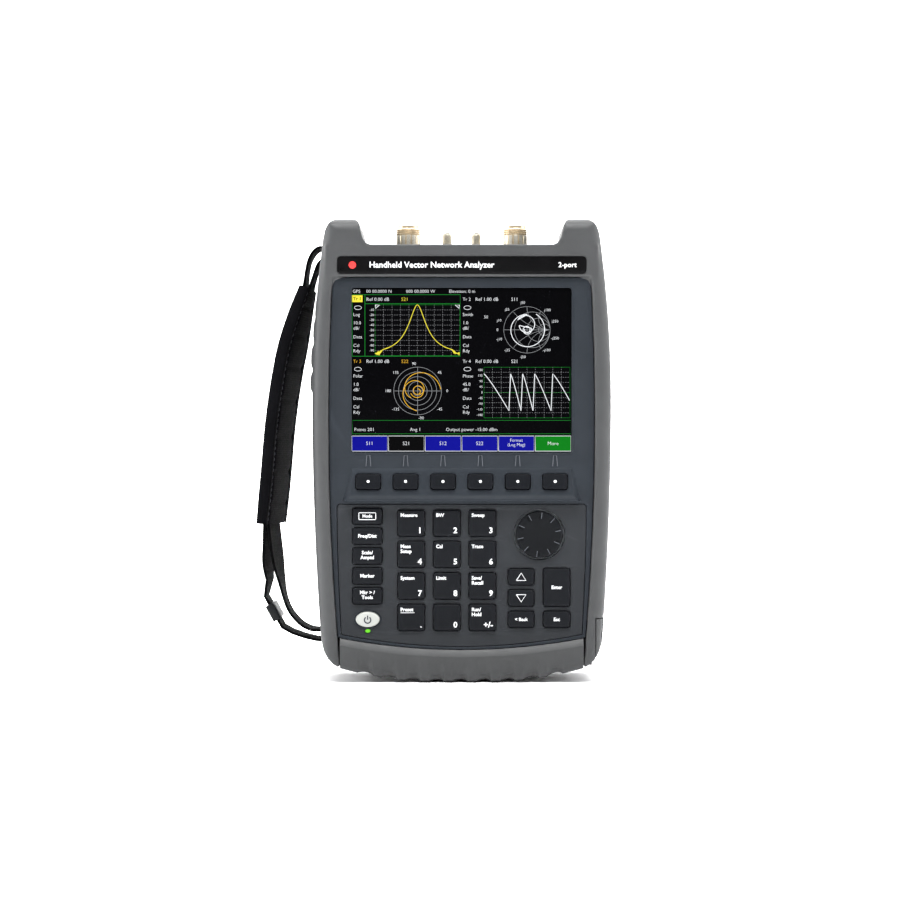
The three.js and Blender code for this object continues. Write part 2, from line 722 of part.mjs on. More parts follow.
// The sleeve thins towards both ends.
function sleeveThickness(share) {
  const fromEnd = THREE.MathUtils.smoothstep(Math.min(share, 1 - share), 0, 0.15);
  return THREE.MathUtils.lerp(SLEEVE.endThickness, SLEEVE.thickness, fromEnd);
}

function webbingUpper() {
  const start = -Math.PI * 0.62 - 0.35;
  const inner = smoothPath([[-96.2, 251], [-94.6, 256.5], [-92, 264.2], [-89.4, 267.2]], 6);
  const outer = smoothPath([[-87.6, 275.2], [-91.6, 275.1], [-95.6, 271.4], [-98.4, 264.5], [-100.3, 251.6]], 9);
  return bandOutline([...inner, ...roundLug(UPPER_LUG, start, Math.PI * 0.42), ...outer], webbingThickness);
}

function webbingLower() {
  const outer = smoothPath([[-123.6, 98.3], [-123.9, 86], [-124.4, 73], [-123.4, 63]], 6);
  const straight = [BUCKLE_START, BUCKLE_END];
  const toLug = smoothPath([[-108.6, 29.6], [-100, 26.6], [-90, 24.4]], 3);
  const inner = smoothPath(
    [[-92.5, 30.9], [-97, 31.6], [-103, 34.9], [-109.4, 42], [-113, 50], [-115.6, 61], [-118, 74], [-120.9, 98.1]],
    14,
  );
  const round = roundLug(LOWER_LUG, -Math.PI * 0.58, Math.PI * 0.62);
  return bandOutline([...outer, ...straight, ...toLug, ...round, ...inner], webbingThickness);
}

// A tri-glide buckle: a flat frame that the webbing runs through.
function strapBuckle() {
  const { length } = BUCKLE;
  const along = new THREE.Vector2().subVectors(BUCKLE_END, BUCKLE_START).normalize();
  const middle = BUCKLE_START.clone().lerp(BUCKLE_END, 0.5);
  const frame = roundedRectangle(BUCKLE.width, BUCKLE.depth, BUCKLE.corner);
  const slot = new THREE.Path();
  const halfSlot = STRAP_WIDTH / 2 + 0.5;
  const halfHeight = WEBBING / 2 + BUCKLE.play;
  slot.moveTo(-halfSlot, -halfHeight);
  slot.lineTo(-halfSlot, halfHeight);
  slot.lineTo(halfSlot, halfHeight);
  slot.lineTo(halfSlot, -halfHeight);
  slot.closePath();
  frame.holes.push(slot);
  const options = { depth: length, bevelEnabled: false, curveSegments: 2 };
  const geometry = new THREE.ExtrudeGeometry(frame, options).translate(0, 0, -length / 2);
  const place = new THREE.Matrix4().makeBasis(
    new THREE.Vector3(0, 1, 0),
    new THREE.Vector3(along.y, 0, -along.x),
    new THREE.Vector3(-along.x, 0, -along.y),
  );
  return geometry.applyMatrix4(place).translate(middle.x, 0, middle.y);
}

function strapLug(lug) {
  const halfLength = LUG_POCKET_HALF - GAP;
  const bar = new THREE.CylinderGeometry(LUG_RADIUS, LUG_RADIUS, 2 * halfLength, 14);
  return bar.translate(lug.x, 0, lug.y);
}

// ---------------------------------------------------------------- assembly
function addCase() {
  const whole = caseBlock();
  const bumpers = sideBumpers(whole);
  addPiece("front_bezel", geometryOf(frontBezel(whole)), "bezel");
  addPiece("rear_housing", geometryOf(rearHousing(whole)), "housing");
  addPiece("left_bumper", geometryOf(bumpers.left), "bumper");
  addPiece("right_bumper", geometryOf(bumpers.right), "bumper");
  addPiece("bottom_bumper", geometryOf(bottomBumper(whole)), "bumper");
  addPiece("battery_door", geometryOf(batteryDoor(whole)), "bezel");
  addPiece("battery_door_latch", geometryOf(whole.intersect(latchShape(0))), "key");
  addPiece("right_port_door", doorShape(RIGHT_DOOR, 0), "bumper");
  addPiece("left_port_door", doorShape(LEFT_DOOR, 0), "bumper");
  addPiece("tilt_stand", geometryOf(tiltStand()), "housing");
}

function addTop() {
  addPiece("top_panel", geometryOf(topPanel()), "panel");
  addPiece("port_1_connector", portConnector(-PORT_SPACING / 2), "nickel");
  addPiece("port_2_connector", portConnector(PORT_SPACING / 2), "nickel");
  addPiece("gps_antenna_connector", antennaConnector(-ANTENNA_SPACING / 2), "nickel");
  addPiece("reference_connector", antennaConnector(ANTENNA_SPACING / 2), "nickel");
}

function addFront() {
  keys.forEach((key) => addPiece(key.name, keyBody(key), key === powerKey ? "powerKey" : "key"));
  addPiece(powerLed.name, keyShape(powerLed, 0, -0.4, WALL - 0.4), "led");
  addPiece("tuning_knob", knob(), "knob");
  addPiece("title_strip", titleShape(0, FRONT - 0.2, FRONT + 0.5), "strip");
  const { halfWidth, bottom, top } = SCREEN;
  const pane = roundedRectangle(2 * halfWidth - 2 * GAP, top - bottom - 2 * GAP, 2);
  const window = alongY(pane, BEZEL_FACE + 0.9, BEZEL_FACE + 2.4).translate(0, 0, (top + bottom) / 2);
  addPiece("display_window", window, "glass");
}

function addInside() {
  const { front } = CAVITY;
  addPiece("lcd_module", block([-73, 73], [front + GAP, front + 7], [140.5, 252]), "shield");
  const sheet = cutter([-72, 72], [front + 0.7, front + 1.5], [29.2, 139]);
  addPiece("keypad_membrane", geometryOf(sheet.subtract(knobHole(6))), "silicone");
  addPiece("main_board", block([-73, 73], [-15, -13.4], [46, 257]), "board");
  addPiece("rf_module", block([-62, 62], [-12, 16], [150, 252]), "shield");
  const encoder = block([KNOB.x - 7, KNOB.x + 7], [-22, -15.5], [KNOB.z - 7, KNOB.z + 7]);
  addPiece("knob_encoder", encoder, "plastic");
  const { left, right, front: near, back, bottom, top } = BATTERY;
  addPiece("battery_pack", block([left, right], [near, back], [bottom, top]), "battery");
}

function addStrap() {
  const half = STRAP_WIDTH / 2;
  const outline = bandOutline(smoothPath(SLEEVE_PATH, 16), sleeveThickness);
  const sleeve = alongY(outline, -SLEEVE.width / 2, SLEEVE.width / 2);
  addPiece("strap_sleeve", lean(sleeve), "fabric");
  addPiece("strap_webbing_upper", lean(alongY(webbingUpper(), -half, half)), "fabric");
  addPiece("strap_webbing_lower", lean(alongY(webbingLower(), -half, half)), "fabric");
  addPiece("strap_buckle", strapBuckle(), "plastic");
  addPiece("upper_strap_lug", strapLug(UPPER_LUG), "steel");
  addPiece("lower_strap_lug", strapLug(LOWER_LUG), "steel");
}

addCase();
addTop();
addFront();
addInside();
addStrap();

export default object;
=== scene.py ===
"""Visual model of the handheld vector network analyzer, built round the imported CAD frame."""
import math

import bmesh
import bpy
from mathutils import Matrix, Vector, noise


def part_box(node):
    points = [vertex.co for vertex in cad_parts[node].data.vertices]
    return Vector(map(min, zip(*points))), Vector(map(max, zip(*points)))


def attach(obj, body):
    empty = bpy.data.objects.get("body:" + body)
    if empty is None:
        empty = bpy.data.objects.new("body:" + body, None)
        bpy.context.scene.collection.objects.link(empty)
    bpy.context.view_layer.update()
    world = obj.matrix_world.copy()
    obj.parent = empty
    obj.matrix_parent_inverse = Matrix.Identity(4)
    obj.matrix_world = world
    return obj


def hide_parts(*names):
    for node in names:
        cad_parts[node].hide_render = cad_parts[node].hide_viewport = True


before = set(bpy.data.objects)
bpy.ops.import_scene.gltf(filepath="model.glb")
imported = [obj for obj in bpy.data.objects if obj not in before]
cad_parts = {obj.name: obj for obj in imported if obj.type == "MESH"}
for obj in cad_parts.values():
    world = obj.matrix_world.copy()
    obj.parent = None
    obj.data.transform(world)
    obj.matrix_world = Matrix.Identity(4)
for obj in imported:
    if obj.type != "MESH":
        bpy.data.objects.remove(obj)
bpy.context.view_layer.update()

# ---------------------------------------------------------------- sizes, in millimetres
MM = 0.001
FRONT = -36.0  # front of the bumpers
BACK = 36.0
BEZEL_FACE = -33.2
HOUSING_FACE = 32.0
BROW_BOTTOM = 254.6
CORE_TOP = 274.85
SEAM_WIDEST = 83.5
SEAM_HEIGHT = 165.0
SEAM_RADIUS = 1680.0
BOOT_TOP = 20.5
BOOT_TOP_RADIUS = 405.0
BASE_FLAT = 15.0
BASE_RADIUS = 218.0
SCREEN_LEFT = -69.2
SCREEN_RIGHT = 69.2
SCREEN_BOTTOM = 144.3
SCREEN_TOP = 248.0
LEDGE_TOP = 134.7
LEDGE_CREST = 118.4
LEDGE_BOTTOM = 113.8
LEDGE_RISE = 3.0
LEDGE_LIP = 6.0
LEDGE_TILT = math.atan2(LEDGE_RISE, LEDGE_TOP - LEDGE_CREST)
SOFTKEY_WIDTH = 15.4
SOFTKEY_HEIGHT = 9.6
KEY_CORNER = 1.5
KEY_DEPTH = 4.7
KNOB_MARKS = 10
KNOB_MARK_START = math.radians(11)
CONNECTOR_BASE = 268.2
BAY_INSIDE = ((-67, -25, 11.6), (90, 30, 37))  # the battery bay's hollow, open to the right
BAY_LINER = ((-68.4, -26.2, 10.4), (82.2, 28.6, 38.4))
STAND_AXIS = 190
STAND_HALF_WIDTH = 47.0
SCREEN_FACE = -32.3
CHART_1 = (-54.4, -1.3, 205.3, 237.2)  # left, right, bottom and top of the grid
CHART_4 = (14.0, 68.0, 166.2, 198.0)
SMITH_CHART = (41.0, 221.5, 14.6)  # middle and radius
POLAR_CHART = (-27.7, 183.1, 15.0)
# Where each fall of the phase starts and ends, in shares of the grid's width.
PHASE_TEETH = [(0.0, 0.29), (0.31, 0.43), (0.45, 0.57), (0.59, 0.78), (0.8, 1.06)]
STRAP_LEAN = 0.2
STRAP_WIDTH = 25.0
WEBBING_THICKNESS = 1.6
SLEEVE_HALF_WIDTH = 24.0
SLEEVE_PATH = [(-98.9, 249.6), (-104.6, 229), (-111.3, 198), (-116.3, 164), (-119.4, 129), (-122.3, 99.2)]
UPPER_INNER = [(-97.4, 244), (-96.2, 251), (-94.6, 256.5), (-92, 264.2), (-89.4, 267.2)]
UPPER_OUTER = [(-87.6, 275.2), (-91.6, 275.1), (-95.6, 271.4), (-98.4, 264.5), (-100.3, 251.6), (-101.6, 244)]
LOWER_OUTER = [(-123.0, 104), (-123.6, 98.3), (-123.9, 86), (-124.4, 73), (-123.4, 63)]
LOWER_TO_LUG = [(-108.6, 29.6), (-100, 26.6), (-90, 24.4)]
LOWER_INNER = [(-92.5, 30.9), (-97, 31.6), (-103, 34.9), (-109.4, 42), (-113, 50), (-115.6, 61), (-118, 74),
               (-120.9, 98.1), (-121.4, 104)]
UPPER_TURN = (-180 * 0.62 - math.degrees(0.35), 180 * 0.42)  # degrees round the lug
LOWER_TURN = (-180 * 0.58, 180 * 0.62)
BUCKLE_START = (-125.5, 52.5)
BUCKLE_END = (-114.5, 32.8)
HOUSING = "housing"
LIGHTS = (  # name, place, width and height in metres, and power in watts
    ("key", (0.0, -0.7, 1.75), (1.6, 0.8), 58.0),
    ("fill", (-1.4, -1.3, 0.5), (1.0, 1.4), 1.0),
    ("right_rim", (1.2, -0.15, 0.5), (0.5, 1.2), 9.0),
    ("left_rim", (-1.2, -0.15, 0.5), (0.5, 1.2), 14.0),
    ("top", (0.0, 0.6, 1.5), (1.6, 0.9), 22.0),
)


# ---------------------------------------------------------------- colours and materials
def srgb(red, green, blue):
    """A linear colour from 8-bit display values."""
    def linear(value):
        share = value / 255
        return share / 12.92 if share <= 0.04045 else ((share + 0.055) / 1.055) ** 2.4
    return (linear(red), linear(green), linear(blue), 1.0)


def scaled(color, factor):
    return tuple(min(1.0, channel * factor) for channel in color[:3]) + (1.0,)


class Nodes:
    """Short calls for building one material's node tree."""

    def __init__(self, name):
        self.material = bpy.data.materials.new(name)
        self.material.use_nodes = True
        self.tree = self.material.node_tree
        self.shader = self.tree.nodes["Principled BSDF"]
        self.coords = self.tree.nodes.new("ShaderNodeTexCoord").outputs["Object"]

    def add(self, kind, inputs=None, **settings):
        node = self.tree.nodes.new(kind)
        for key, value in settings.items():
            setattr(node, key, value)
        for key, value in (inputs or {}).items():
            if isinstance(value, bpy.types.NodeSocket):
                self.tree.links.new(value, node.inputs[key])
            else:
                node.inputs[key].default_value = value
        return node

    def noise(self, scale, detail=2.0, vector=None):
        inputs = {"Vector": vector or self.coords, "Scale": scale, "Detail": detail}
        return self.add("ShaderNodeTexNoise", inputs).outputs["Fac"]

    def ranged(self, value, low, high, start=0.3, end=0.7):
        inputs = {"Value": value, "From Min": start, "From Max": end, "To Min": low, "To Max": high}
        return self.add("ShaderNodeMapRange", inputs).outputs["Result"]

    def mixed(self, share, first, second):
        node = self.add("ShaderNodeMix", data_type="RGBA")
        for socket, value in zip((node.inputs[0], node.inputs[6], node.inputs[7]), (share, first, second)):
            if isinstance(value, bpy.types.NodeSocket):
                self.tree.links.new(value, socket)
            else:
                socket.default_value = value
        return node.outputs[2]

    def bump(self, height, strength, distance):
        inputs = {"Height": height, "Strength": strength, "Distance": distance}
        normal = self.add("ShaderNodeBump", inputs).outputs["Normal"]
        self.link(normal, "Normal")

    def link(self, output, name):
        self.tree.links.new(output, self.shader.inputs[name])

    def set(self, **values):
        for key, value in values.items():
            self.shader.inputs[key.replace("_", " ")].default_value = value


def moulded(name, color, roughness, grain=1500.0, depth=0.00006, mottle=0.06, wear_and_highlight=0.25, gloss=0.1):
    """Moulded plastic or rubber: fine spark grain, faint blotches, and sharp edges painted lighter, partly
    rub wear and partly painted highlight.
    """
    nodes = Nodes(name)
    blotch = nodes.ranged(nodes.noise(55.0, 3.0), 0.0, 1.0)
    base = nodes.mixed(blotch, scaled(color, 1 - mottle), scaled(color, 1 + mottle))
    # Pointiness paints the sharp convex edges lighter: partly rub wear, partly a painted highlight where
    # edges catch the light.
    pointiness = nodes.add("ShaderNodeNewGeometry").outputs["Pointiness"]
    edges = nodes.ranged(pointiness, 0.0, wear_and_highlight, 0.52, 0.62)
    nodes.link(nodes.mixed(edges, base, scaled(color, 2.2)), "Base Color")
    fine = nodes.noise(grain, 3.0)
    worn = nodes.ranged(nodes.noise(120.0), roughness - 0.05, roughness + 0.05)
    rough = nodes.add("ShaderNodeMath", {0: nodes.ranged(fine, -0.05, 0.05), 1: worn}, operation="ADD")
    nodes.link(rough.outputs[0], "Roughness")
    nodes.bump(fine, 0.5, depth)
    nodes.set(Specular_IOR_Level=gloss)
    return nodes.material


def glossy(name, color, roughness):
    """A dark display pane with the faintest smears and a weak reflection."""
    nodes = Nodes(name)
    smear = nodes.noise(24.0, 3.0)
    nodes.link(nodes.ranged(smear, roughness - 0.03, roughness + 0.05), "Roughness")
    nodes.link(nodes.mixed(smear, scaled(color, 0.8), scaled(color, 1.2)), "Base Color")
    nodes.set(Specular_IOR_Level=0.04)
    return nodes.material


def woven(name, color, thread, depth=0.00022, sheen=0.004):
    """Woven nylon: two crossed sets of threads, `thread` metres apart."""
    nodes = Nodes(name)
    bands = []
    for axis in ("Y", "Z"):
        inputs = {"Vector": nodes.coords, "Scale": 0.25 / thread, "Distortion": 0.6, "Detail": 1.0}
        wave = nodes.add("ShaderNodeTexWave", inputs, bands_direction=axis)
        bands.append(wave.outputs["Fac"])
    weave = nodes.add("ShaderNodeMath", {0: bands[0], 1: bands[1]}, operation="MULTIPLY").outputs[0]
    fuzz = nodes.noise(900.0, 4.0)
    height = nodes.add("ShaderNodeMath", {0: weave, 1: fuzz}, operation="ADD").outputs[0]
    patch = nodes.ranged(nodes.noise(70.0), 0.0, 1.0)
    base = nodes.mixed(patch, scaled(color, 0.8), scaled(color, 1.25))
    nodes.link(nodes.mixed(nodes.ranged(weave, 0.0, 0.5, 0.1, 0.9), base, scaled(color, 1.9)), "Base Color")
    nodes.link(nodes.ranged(fuzz, 0.78, 0.95), "Roughness")
    nodes.bump(height, 0.7, depth)
    nodes.set(Sheen_Weight=sheen, Sheen_Roughness=0.5, Specular_IOR_Level=0.04)
    return nodes.material


def plated(name, color, roughness):
    """Bright plating over turned metal, with fine turning marks and faint tarnish."""
    nodes = Nodes(name)
    tarnish = nodes.ranged(nodes.noise(260.0, 4.0), 0.0, 1.0)
    nodes.link(nodes.mixed(tarnish, scaled(color, 0.82), color), "Base Color")
    fine = nodes.noise(3200.0, 2.0)
    nodes.link(nodes.ranged(fine, roughness - 0.06, roughness + 0.1), "Roughness")
    nodes.bump(fine, 0.25, 0.00002)
    nodes.set(Metallic=1.0)
    return nodes.material


def glowing(name, color, strength=1.0):
    """A lit mark on the screen, with the slight unevenness of a backlight."""
    nodes = Nodes(name)
    uneven = nodes.ranged(nodes.noise(30.0), 0.0, 1.0)
    glow = nodes.mixed(uneven, scaled(color, 0.94), color)
    nodes.link(glow, "Emission Color")
    nodes.link(nodes.mixed(uneven, scaled(color, 0.1), scaled(color, 0.12)), "Base Color")
    nodes.set(Emission_Strength=strength, Roughness=0.5, Specular_IOR_Level=0.02)
    return nodes.material


def printed(name, color):
    """Printed legends: flat ink with slightly uneven cover."""
    nodes = Nodes(name)
    cover = nodes.ranged(nodes.noise(1800.0, 3.0), 0.0, 1.0)
    nodes.link(nodes.mixed(cover, scaled(color, 0.88), color), "Base Color")
    nodes.link(nodes.ranged(cover, 0.45, 0.6, 0.0, 1.0), "Roughness")
    return nodes.material


RUBBER = moulded("bumper_rubber", srgb(55, 56, 57), 0.5, grain=1300.0, gloss=0.32)
SLATE = moulded("bezel_plastic", srgb(36, 40, 45), 0.52)
PANEL = moulded("keypad_panel_plastic", srgb(41, 43, 46), 0.55)
REAR = moulded("housing_plastic", srgb(47, 49, 52), 0.6, grain=900.0, depth=0.0001)
KEY = moulded("key_plastic", srgb(13, 15, 19), 0.5, grain=2200.0, depth=0.00003, wear_and_highlight=0.12)
KNOB = moulded("knob_plastic", srgb(11, 13, 16), 0.5, grain=2000.0, depth=0.00004, wear_and_highlight=0.3)
WHITE_KEY = moulded("white_key_plastic", srgb(165, 167, 163), 0.4, grain=2500.0, depth=0.00002, mottle=0.02,
                    wear_and_highlight=0.0)
STRIP = moulded("title_plastic", srgb(4, 4, 5), 0.35, grain=2600.0, depth=0.00001, wear_and_highlight=0.0)
GLASS = glossy("display_glass", srgb(3, 3, 4), 0.12)
DARK = moulded("black_plastic", srgb(20, 21, 23), 0.45)
FABRIC = woven("strap_fabric", srgb(4, 4, 6), 0.0011)
WEBBING = woven("webbing", srgb(4, 4, 5), 0.0016, depth=0.0003)
BINDING = woven("strap_binding", srgb(6, 6, 8), 0.0008, depth=0.00015)
THREAD = woven("strap_thread", srgb(44, 45, 48), 0.0004, depth=0.00008)
NICKEL = plated("plated_nickel", srgb(238, 232, 217), 0.3)
BRASS = plated("threaded_brass", srgb(226, 208, 178), 0.34)
GOLD = plated("plated_gold", srgb(206, 176, 118), 0.26)
STEEL = plated("screw_steel", srgb(120, 122, 125), 0.34)
INK = printed("legend_ink", srgb(236, 238, 240))
DARK_INK = printed("dark_ink", srgb(22, 28, 42))
RED_INK = printed("red_ink", srgb(214, 40, 38))
RUBBER_DARK = moulded("door_rubber", srgb(56, 57, 60), 0.62, grain=1300.0, depth=0.00007)
STEEL_PANEL = plated("panel_metal", srgb(96, 98, 101), 0.42)
LABEL = printed("label_film", srgb(186, 189, 192))
SILICONE = moulded("silicone", srgb(120, 124, 128), 0.6, wear_and_highlight=0.0)
BOARD = moulded("circuit_board", srgb(22, 74, 46), 0.4, wear_and_highlight=0.0)
SHIELD = plated("shield_metal", srgb(168, 170, 172), 0.35)
LIT_GREEN = glowing("green_lens", srgb(112, 214, 58), 1.2)
SCREEN_WHITE = glowing("screen_white", srgb(236, 239, 242), 1.1)
SCREEN_GREY = glowing("screen_grey", srgb(150, 152, 155))
SCREEN_YELLOW = glowing("screen_yellow", srgb(236, 222, 66))
SCREEN_ORANGE = glowing("screen_orange", srgb(232, 178, 52))
# Lighter than the bezel and knob plastic: a painted highlight for the light that the small raised ridges
# catch.
RIDGE_PAINTED_HIGHLIGHT = moulded("ridge_plastic_painted_highlight", srgb(69, 72, 77), 0.5)
SCREEN_GREEN = glowing("screen_green", srgb(26, 128, 44))
SCREEN_DARK_GREEN = glowing("screen_dark_green", srgb(12, 118, 24))
SCREEN_BLUE = glowing("screen_blue", srgb(14, 16, 142))
SCREEN_BLACK = glowing("screen_black", srgb(5, 5, 6))


# ---------------------------------------------------------------- mesh helpers
def add_object(name, mesh, material, body, replaces=()):
    """Links a finished mesh and ties it to the frame."""
    piece = bpy.data.objects.new(name, mesh)
    bpy.context.collection.objects.link(piece)
    mesh.materials.clear()
    mesh.materials.append(material)
    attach(piece, body)
    if replaces:
        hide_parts(*replaces)
    return piece


def shade(mesh, angle=35.0):
    """Smooth shading that stays sharp at edges bent by more than an angle."""
    mesh.polygons.foreach_set("use_smooth", [True] * len(mesh.polygons))
    mesh.set_sharp_from_angle(angle=math.radians(angle))
    mesh.update()
    return mesh


def mesh_from(name, points, faces, angle=35.0):
    """A mesh from millimetre points, with its faces turned outwards."""
    mesh = bpy.data.meshes.new(name)
    mesh.from_pydata([Vector(point) * MM for point in points], [], faces)
    tidy(mesh)
    return shade(mesh, angle)


def tidy(mesh, merge=1e-7):
    """Joins doubled points and turns every face outwards."""
    work = bmesh.new()
    work.from_mesh(mesh)
    bmesh.ops.remove_doubles(work, verts=work.verts, dist=merge)
    bmesh.ops.recalc_face_normals(work, faces=work.faces)
    work.to_mesh(mesh)
    work.free()


def evaluated_mesh(piece):
    """The mesh that a temporary object's modifiers or curve give, and the object removed."""
    graph = bpy.context.evaluated_depsgraph_get()
    mesh = bpy.data.meshes.new_from_object(piece.evaluated_get(graph))
    data = piece.data
    bpy.data.objects.remove(piece)
    if isinstance(data, bpy.types.Curve):
        bpy.data.curves.remove(data)
    return mesh


def temporary(mesh):
    piece = bpy.data.objects.new("temporary", mesh)
    bpy.context.collection.objects.link(piece)
    return piece


def joined(meshes):
    work = bmesh.new()
    for mesh in meshes:
        work.from_mesh(mesh)
    result = bpy.data.meshes.new("joined")
    work.to_mesh(result)
    work.free()
    return result


def ring_mesh(name, rings, closed_ring=True, caps=True, loop=False, angle=35.0):
    """A skin through rings of points, each ring the same length."""
    size = len(rings[0])
    points = [point for ring in rings for point in ring]
    faces = []
    count = len(rings) if loop else len(rings) - 1
    around = size if closed_ring else size - 1
    for row in range(count):
        below = row * size
        above = ((row + 1) % len(rings)) * size
        for column in range(around):
            next_column = (column + 1) % size
            faces.append((below + column, below + next_column, above + next_column, above + column))
    if caps and not loop:
        faces.append(tuple(range(size)))
        faces.append(tuple(range((len(rings) - 1) * size, len(rings) * size)))
    return mesh_from(name, points, faces, angle)


def turned(name, profile, place, segments=48, angle=35.0):
    """A turned solid from radius and height pairs, standing on Z and then placed by a matrix."""
    rings = []
    for radius, height in profile:
        steps = [2 * math.pi * i / segments for i in range(segments)]
        rings.append([(radius * math.cos(a), radius * math.sin(a), height) for a in steps])
    mesh = ring_mesh(name, rings, angle=angle)
    mesh.transform(place)
    return mesh


def placed(x, y, z, turn=None):
    move = Matrix.Translation(Vector((x, y, z)) * MM)
    return move @ turn if turn else move


FACING = Matrix.Rotation(math.radians(90), 4, "X")  # turns drawings in X and Y to stand facing -Y


def rounded_rectangle(x, z, width, height, corner, steps=5):
    points = []
    corners = [(1, 1, 0), (-1, 1, 90), (-1, -1, 180), (1, -1, 270)]
    for side, level, start in corners:
        for i in range(steps + 1):
            angle = math.radians(start + 90 * i / steps)
            points.append((x + side * (width / 2 - corner) + corner * math.cos(angle),
                           z + level * (height / 2 - corner) + corner * math.sin(angle)))
    return points


def oval(x, z, width, height, steps=40):
    angles = [2 * math.pi * i / steps for i in range(steps)]
    return [(x + width / 2 * math.cos(a), z + height / 2 * math.sin(a)) for a in angles]


def plate_mesh(outlines, front, back, edge):
    """A flat moulded plate facing -Y: its rim is the first outline and the others are holes."""
    curve = bpy.data.curves.new("plate", "CURVE")
    curve.dimensions = "2D"
    curve.fill_mode = "BOTH"
    for outline in outlines:
        spline = curve.splines.new("POLY")
        spline.points.add(len(outline) - 1)
        for point, (x, z) in zip(spline.points, outline):
            point.co = (x * MM, z * MM, 0, 1)
        spline.use_cyclic_u = True
    curve.extrude = ((back - front) / 2 - edge) * MM
    curve.bevel_depth = edge * MM
    curve.bevel_resolution = 2
    curve.offset = -edge * MM
    piece = bpy.data.objects.new("plate", curve)
    bpy.context.collection.objects.link(piece)
    mesh = evaluated_mesh(piece)
    mesh.transform(Matrix.Translation((0, (front + back) / 2 * MM, 0)) @ FACING)
    tidy(mesh, 2e-6)
    return shade(mesh, 30)


def text_mesh(items, face, height=0.06, weight=0.0):
    """Raised letters on a face towards -Y. An item is (text, x, z, size, alignment)."""
    meshes = []
    for words, x, z, size, align in items:
        curve = bpy.data.curves.new("text", "FONT")
        curve.body = words
        curve.size = size * MM
        curve.align_x = align
        curve.align_y = "CENTER"
        curve.extrude = height / 2 * MM
        curve.offset = weight * size * MM
        curve.resolution_u = 2
        piece = bpy.data.objects.new("text", curve)
        bpy.context.collection.objects.link(piece)
        mesh = evaluated_mesh(piece)
        mesh.transform(placed(x, face - height / 2, z) @ FACING)
        meshes.append(mesh)
    mesh = joined(meshes)
    tidy(mesh, 1e-8)
    return mesh


def stroke_mesh(lines, width, face, height=0.05):
    """Thin raised strokes along lists of X and Z points, on a face towards -Y."""
    points = []
    faces = []
    for line in lines:
        start = len(points)
        count = len(line)
        for i, (x, z) in enumerate(line):
            before = Vector(line[max(i - 1, 0)])
            after = Vector(line[min(i + 1, count - 1)])
            along = (after - before).normalized()
            aside = Vector((-along.y, along.x)) * width / 2
            for side in (1, -1):
                for level in (face - height, face):
                    points.append((x + side * aside.x, level, z + side * aside.y))
        for i in range(count - 1):
            a = start + 4 * i
            b = a + 4
            faces += [(a, b, b + 2, a + 2), (a + 1, a + 3, b + 3, b + 1), (a, a + 1, b + 1, b),
                      (a + 2, b + 2, b + 3, a + 3)]
        end = start + 4 * (count - 1)
        faces += [(start, start + 2, start + 3, start + 1), (end, end + 1, end + 3, end + 2)]
    return mesh_from("strokes", points, faces)


def closed(outline):
    return outline + outline[:1]


def circle(x, z, radius, start=0.0, end=360.0, steps=48):
    angles = [math.radians(start + (end - start) * i / steps) for i in range(steps + 1)]
    return [(x + radius * math.cos(a), z + radius * math.sin(a)) for a in angles]


def node_box(node):
    """The lowest and highest corner of a CAD node's box."""
    low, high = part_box(node)
    return Vector(low) / MM, Vector(high) / MM


def node_middle(node):
    low, high = node_box(node)
    return (low + high) / 2


def about_face(mesh):
    """A mesh turned half round, from facing forwards to facing backwards."""
    mesh.transform(Matrix.Rotation(math.pi, 4, "Z"))
    return mesh


# ---------------------------------------------------------------- outlines of the case
def seam_half_width(z):
    return SEAM_WIDEST - (z - SEAM_HEIGHT) ** 2 / (2 * SEAM_RADIUS)


def boot_top(x):
    return BOOT_TOP + x * x / (2 * BOOT_TOP_RADIUS)


def underside(x):
    past = max(abs(x) - BASE_FLAT, 0)
    return past * past / (2 * BASE_RADIUS)


def spread(start, end, count):
    return [start + (end - start) * i / count for i in range(count + 1)]


def panel_outline(bottom_rise, top, inset, corner):
    """The front view of the panel between the bumpers: bowed sides, curved foot, round top corners."""
    foot_half = seam_half_width(27) - inset
    foot = [(x, boot_top(x) + bottom_rise) for x in spread(-foot_half, foot_half, 24)]
    start = foot[-1][1] + 1
    right = [(seam_half_width(z) - inset, z) for z in spread(start, top - corner, 24)]
    edge = seam_half_width(top - corner) - inset - corner
    arc = circle(edge, top - corner, corner, 0, 90, 6)
    left = [(-x, z) for x, z in reversed(right + arc[1:])]
    return foot + right + arc[1:] + left


# ---------------------------------------------------------------- rubber frame and boot
def block_mesh(low, high):
    corners = [(x, y, z) for z in (low[2], high[2]) for y in (low[1], high[1]) for x in (low[0], high[0])]
    faces = [(0, 2, 3, 1), (4, 5, 7, 6), (0, 1, 5, 4), (2, 6, 7, 3), (0, 4, 6, 2), (1, 3, 7, 5)]
    return mesh_from("block", corners, faces)


def modified(mesh, kind, **settings):
    """A mesh after one modifier."""
    piece = temporary(mesh)
    modifier = piece.modifiers.new("modifier", kind)
    for key, value in settings.items():
        setattr(modifier, key, value)
    return evaluated_mesh(piece)


def cut(mesh, cutters):
    """A mesh with closed cutter meshes taken out of it."""
    tool = temporary(joined(cutters))
    result = modified(mesh, "BOOLEAN", operation="DIFFERENCE", solver="EXACT", object=tool)
    bpy.data.objects.remove(tool)
    return result


def softened(mesh, voxel, rounds):
    """One closed skin round a mesh's parts, with every edge worn soft."""
    mesh = modified(mesh, "REMESH", mode="VOXEL", voxel_size=voxel * MM)
    return modified(mesh, "SMOOTH", factor=0.5, iterations=rounds)


def grip_height(z, y):
    """The finger grips moulded into the left side: four shallow pads between the hand and the horn."""
    pads = [(236.0, 6.0, 0.9), (222.0, 7.0, 1.5), (205.0, 8.0, 2.2), (189.0, 7.0, 2.2)]
    across = max(0.0, 1 - (abs(y) / 30) ** 4)
    height = 0.0
    for centre, half, rise in pads:
        share = (z - centre) / half
        if abs(share) < 1:
            height = max(height, rise * (1 - share ** 4) * across)
    return height


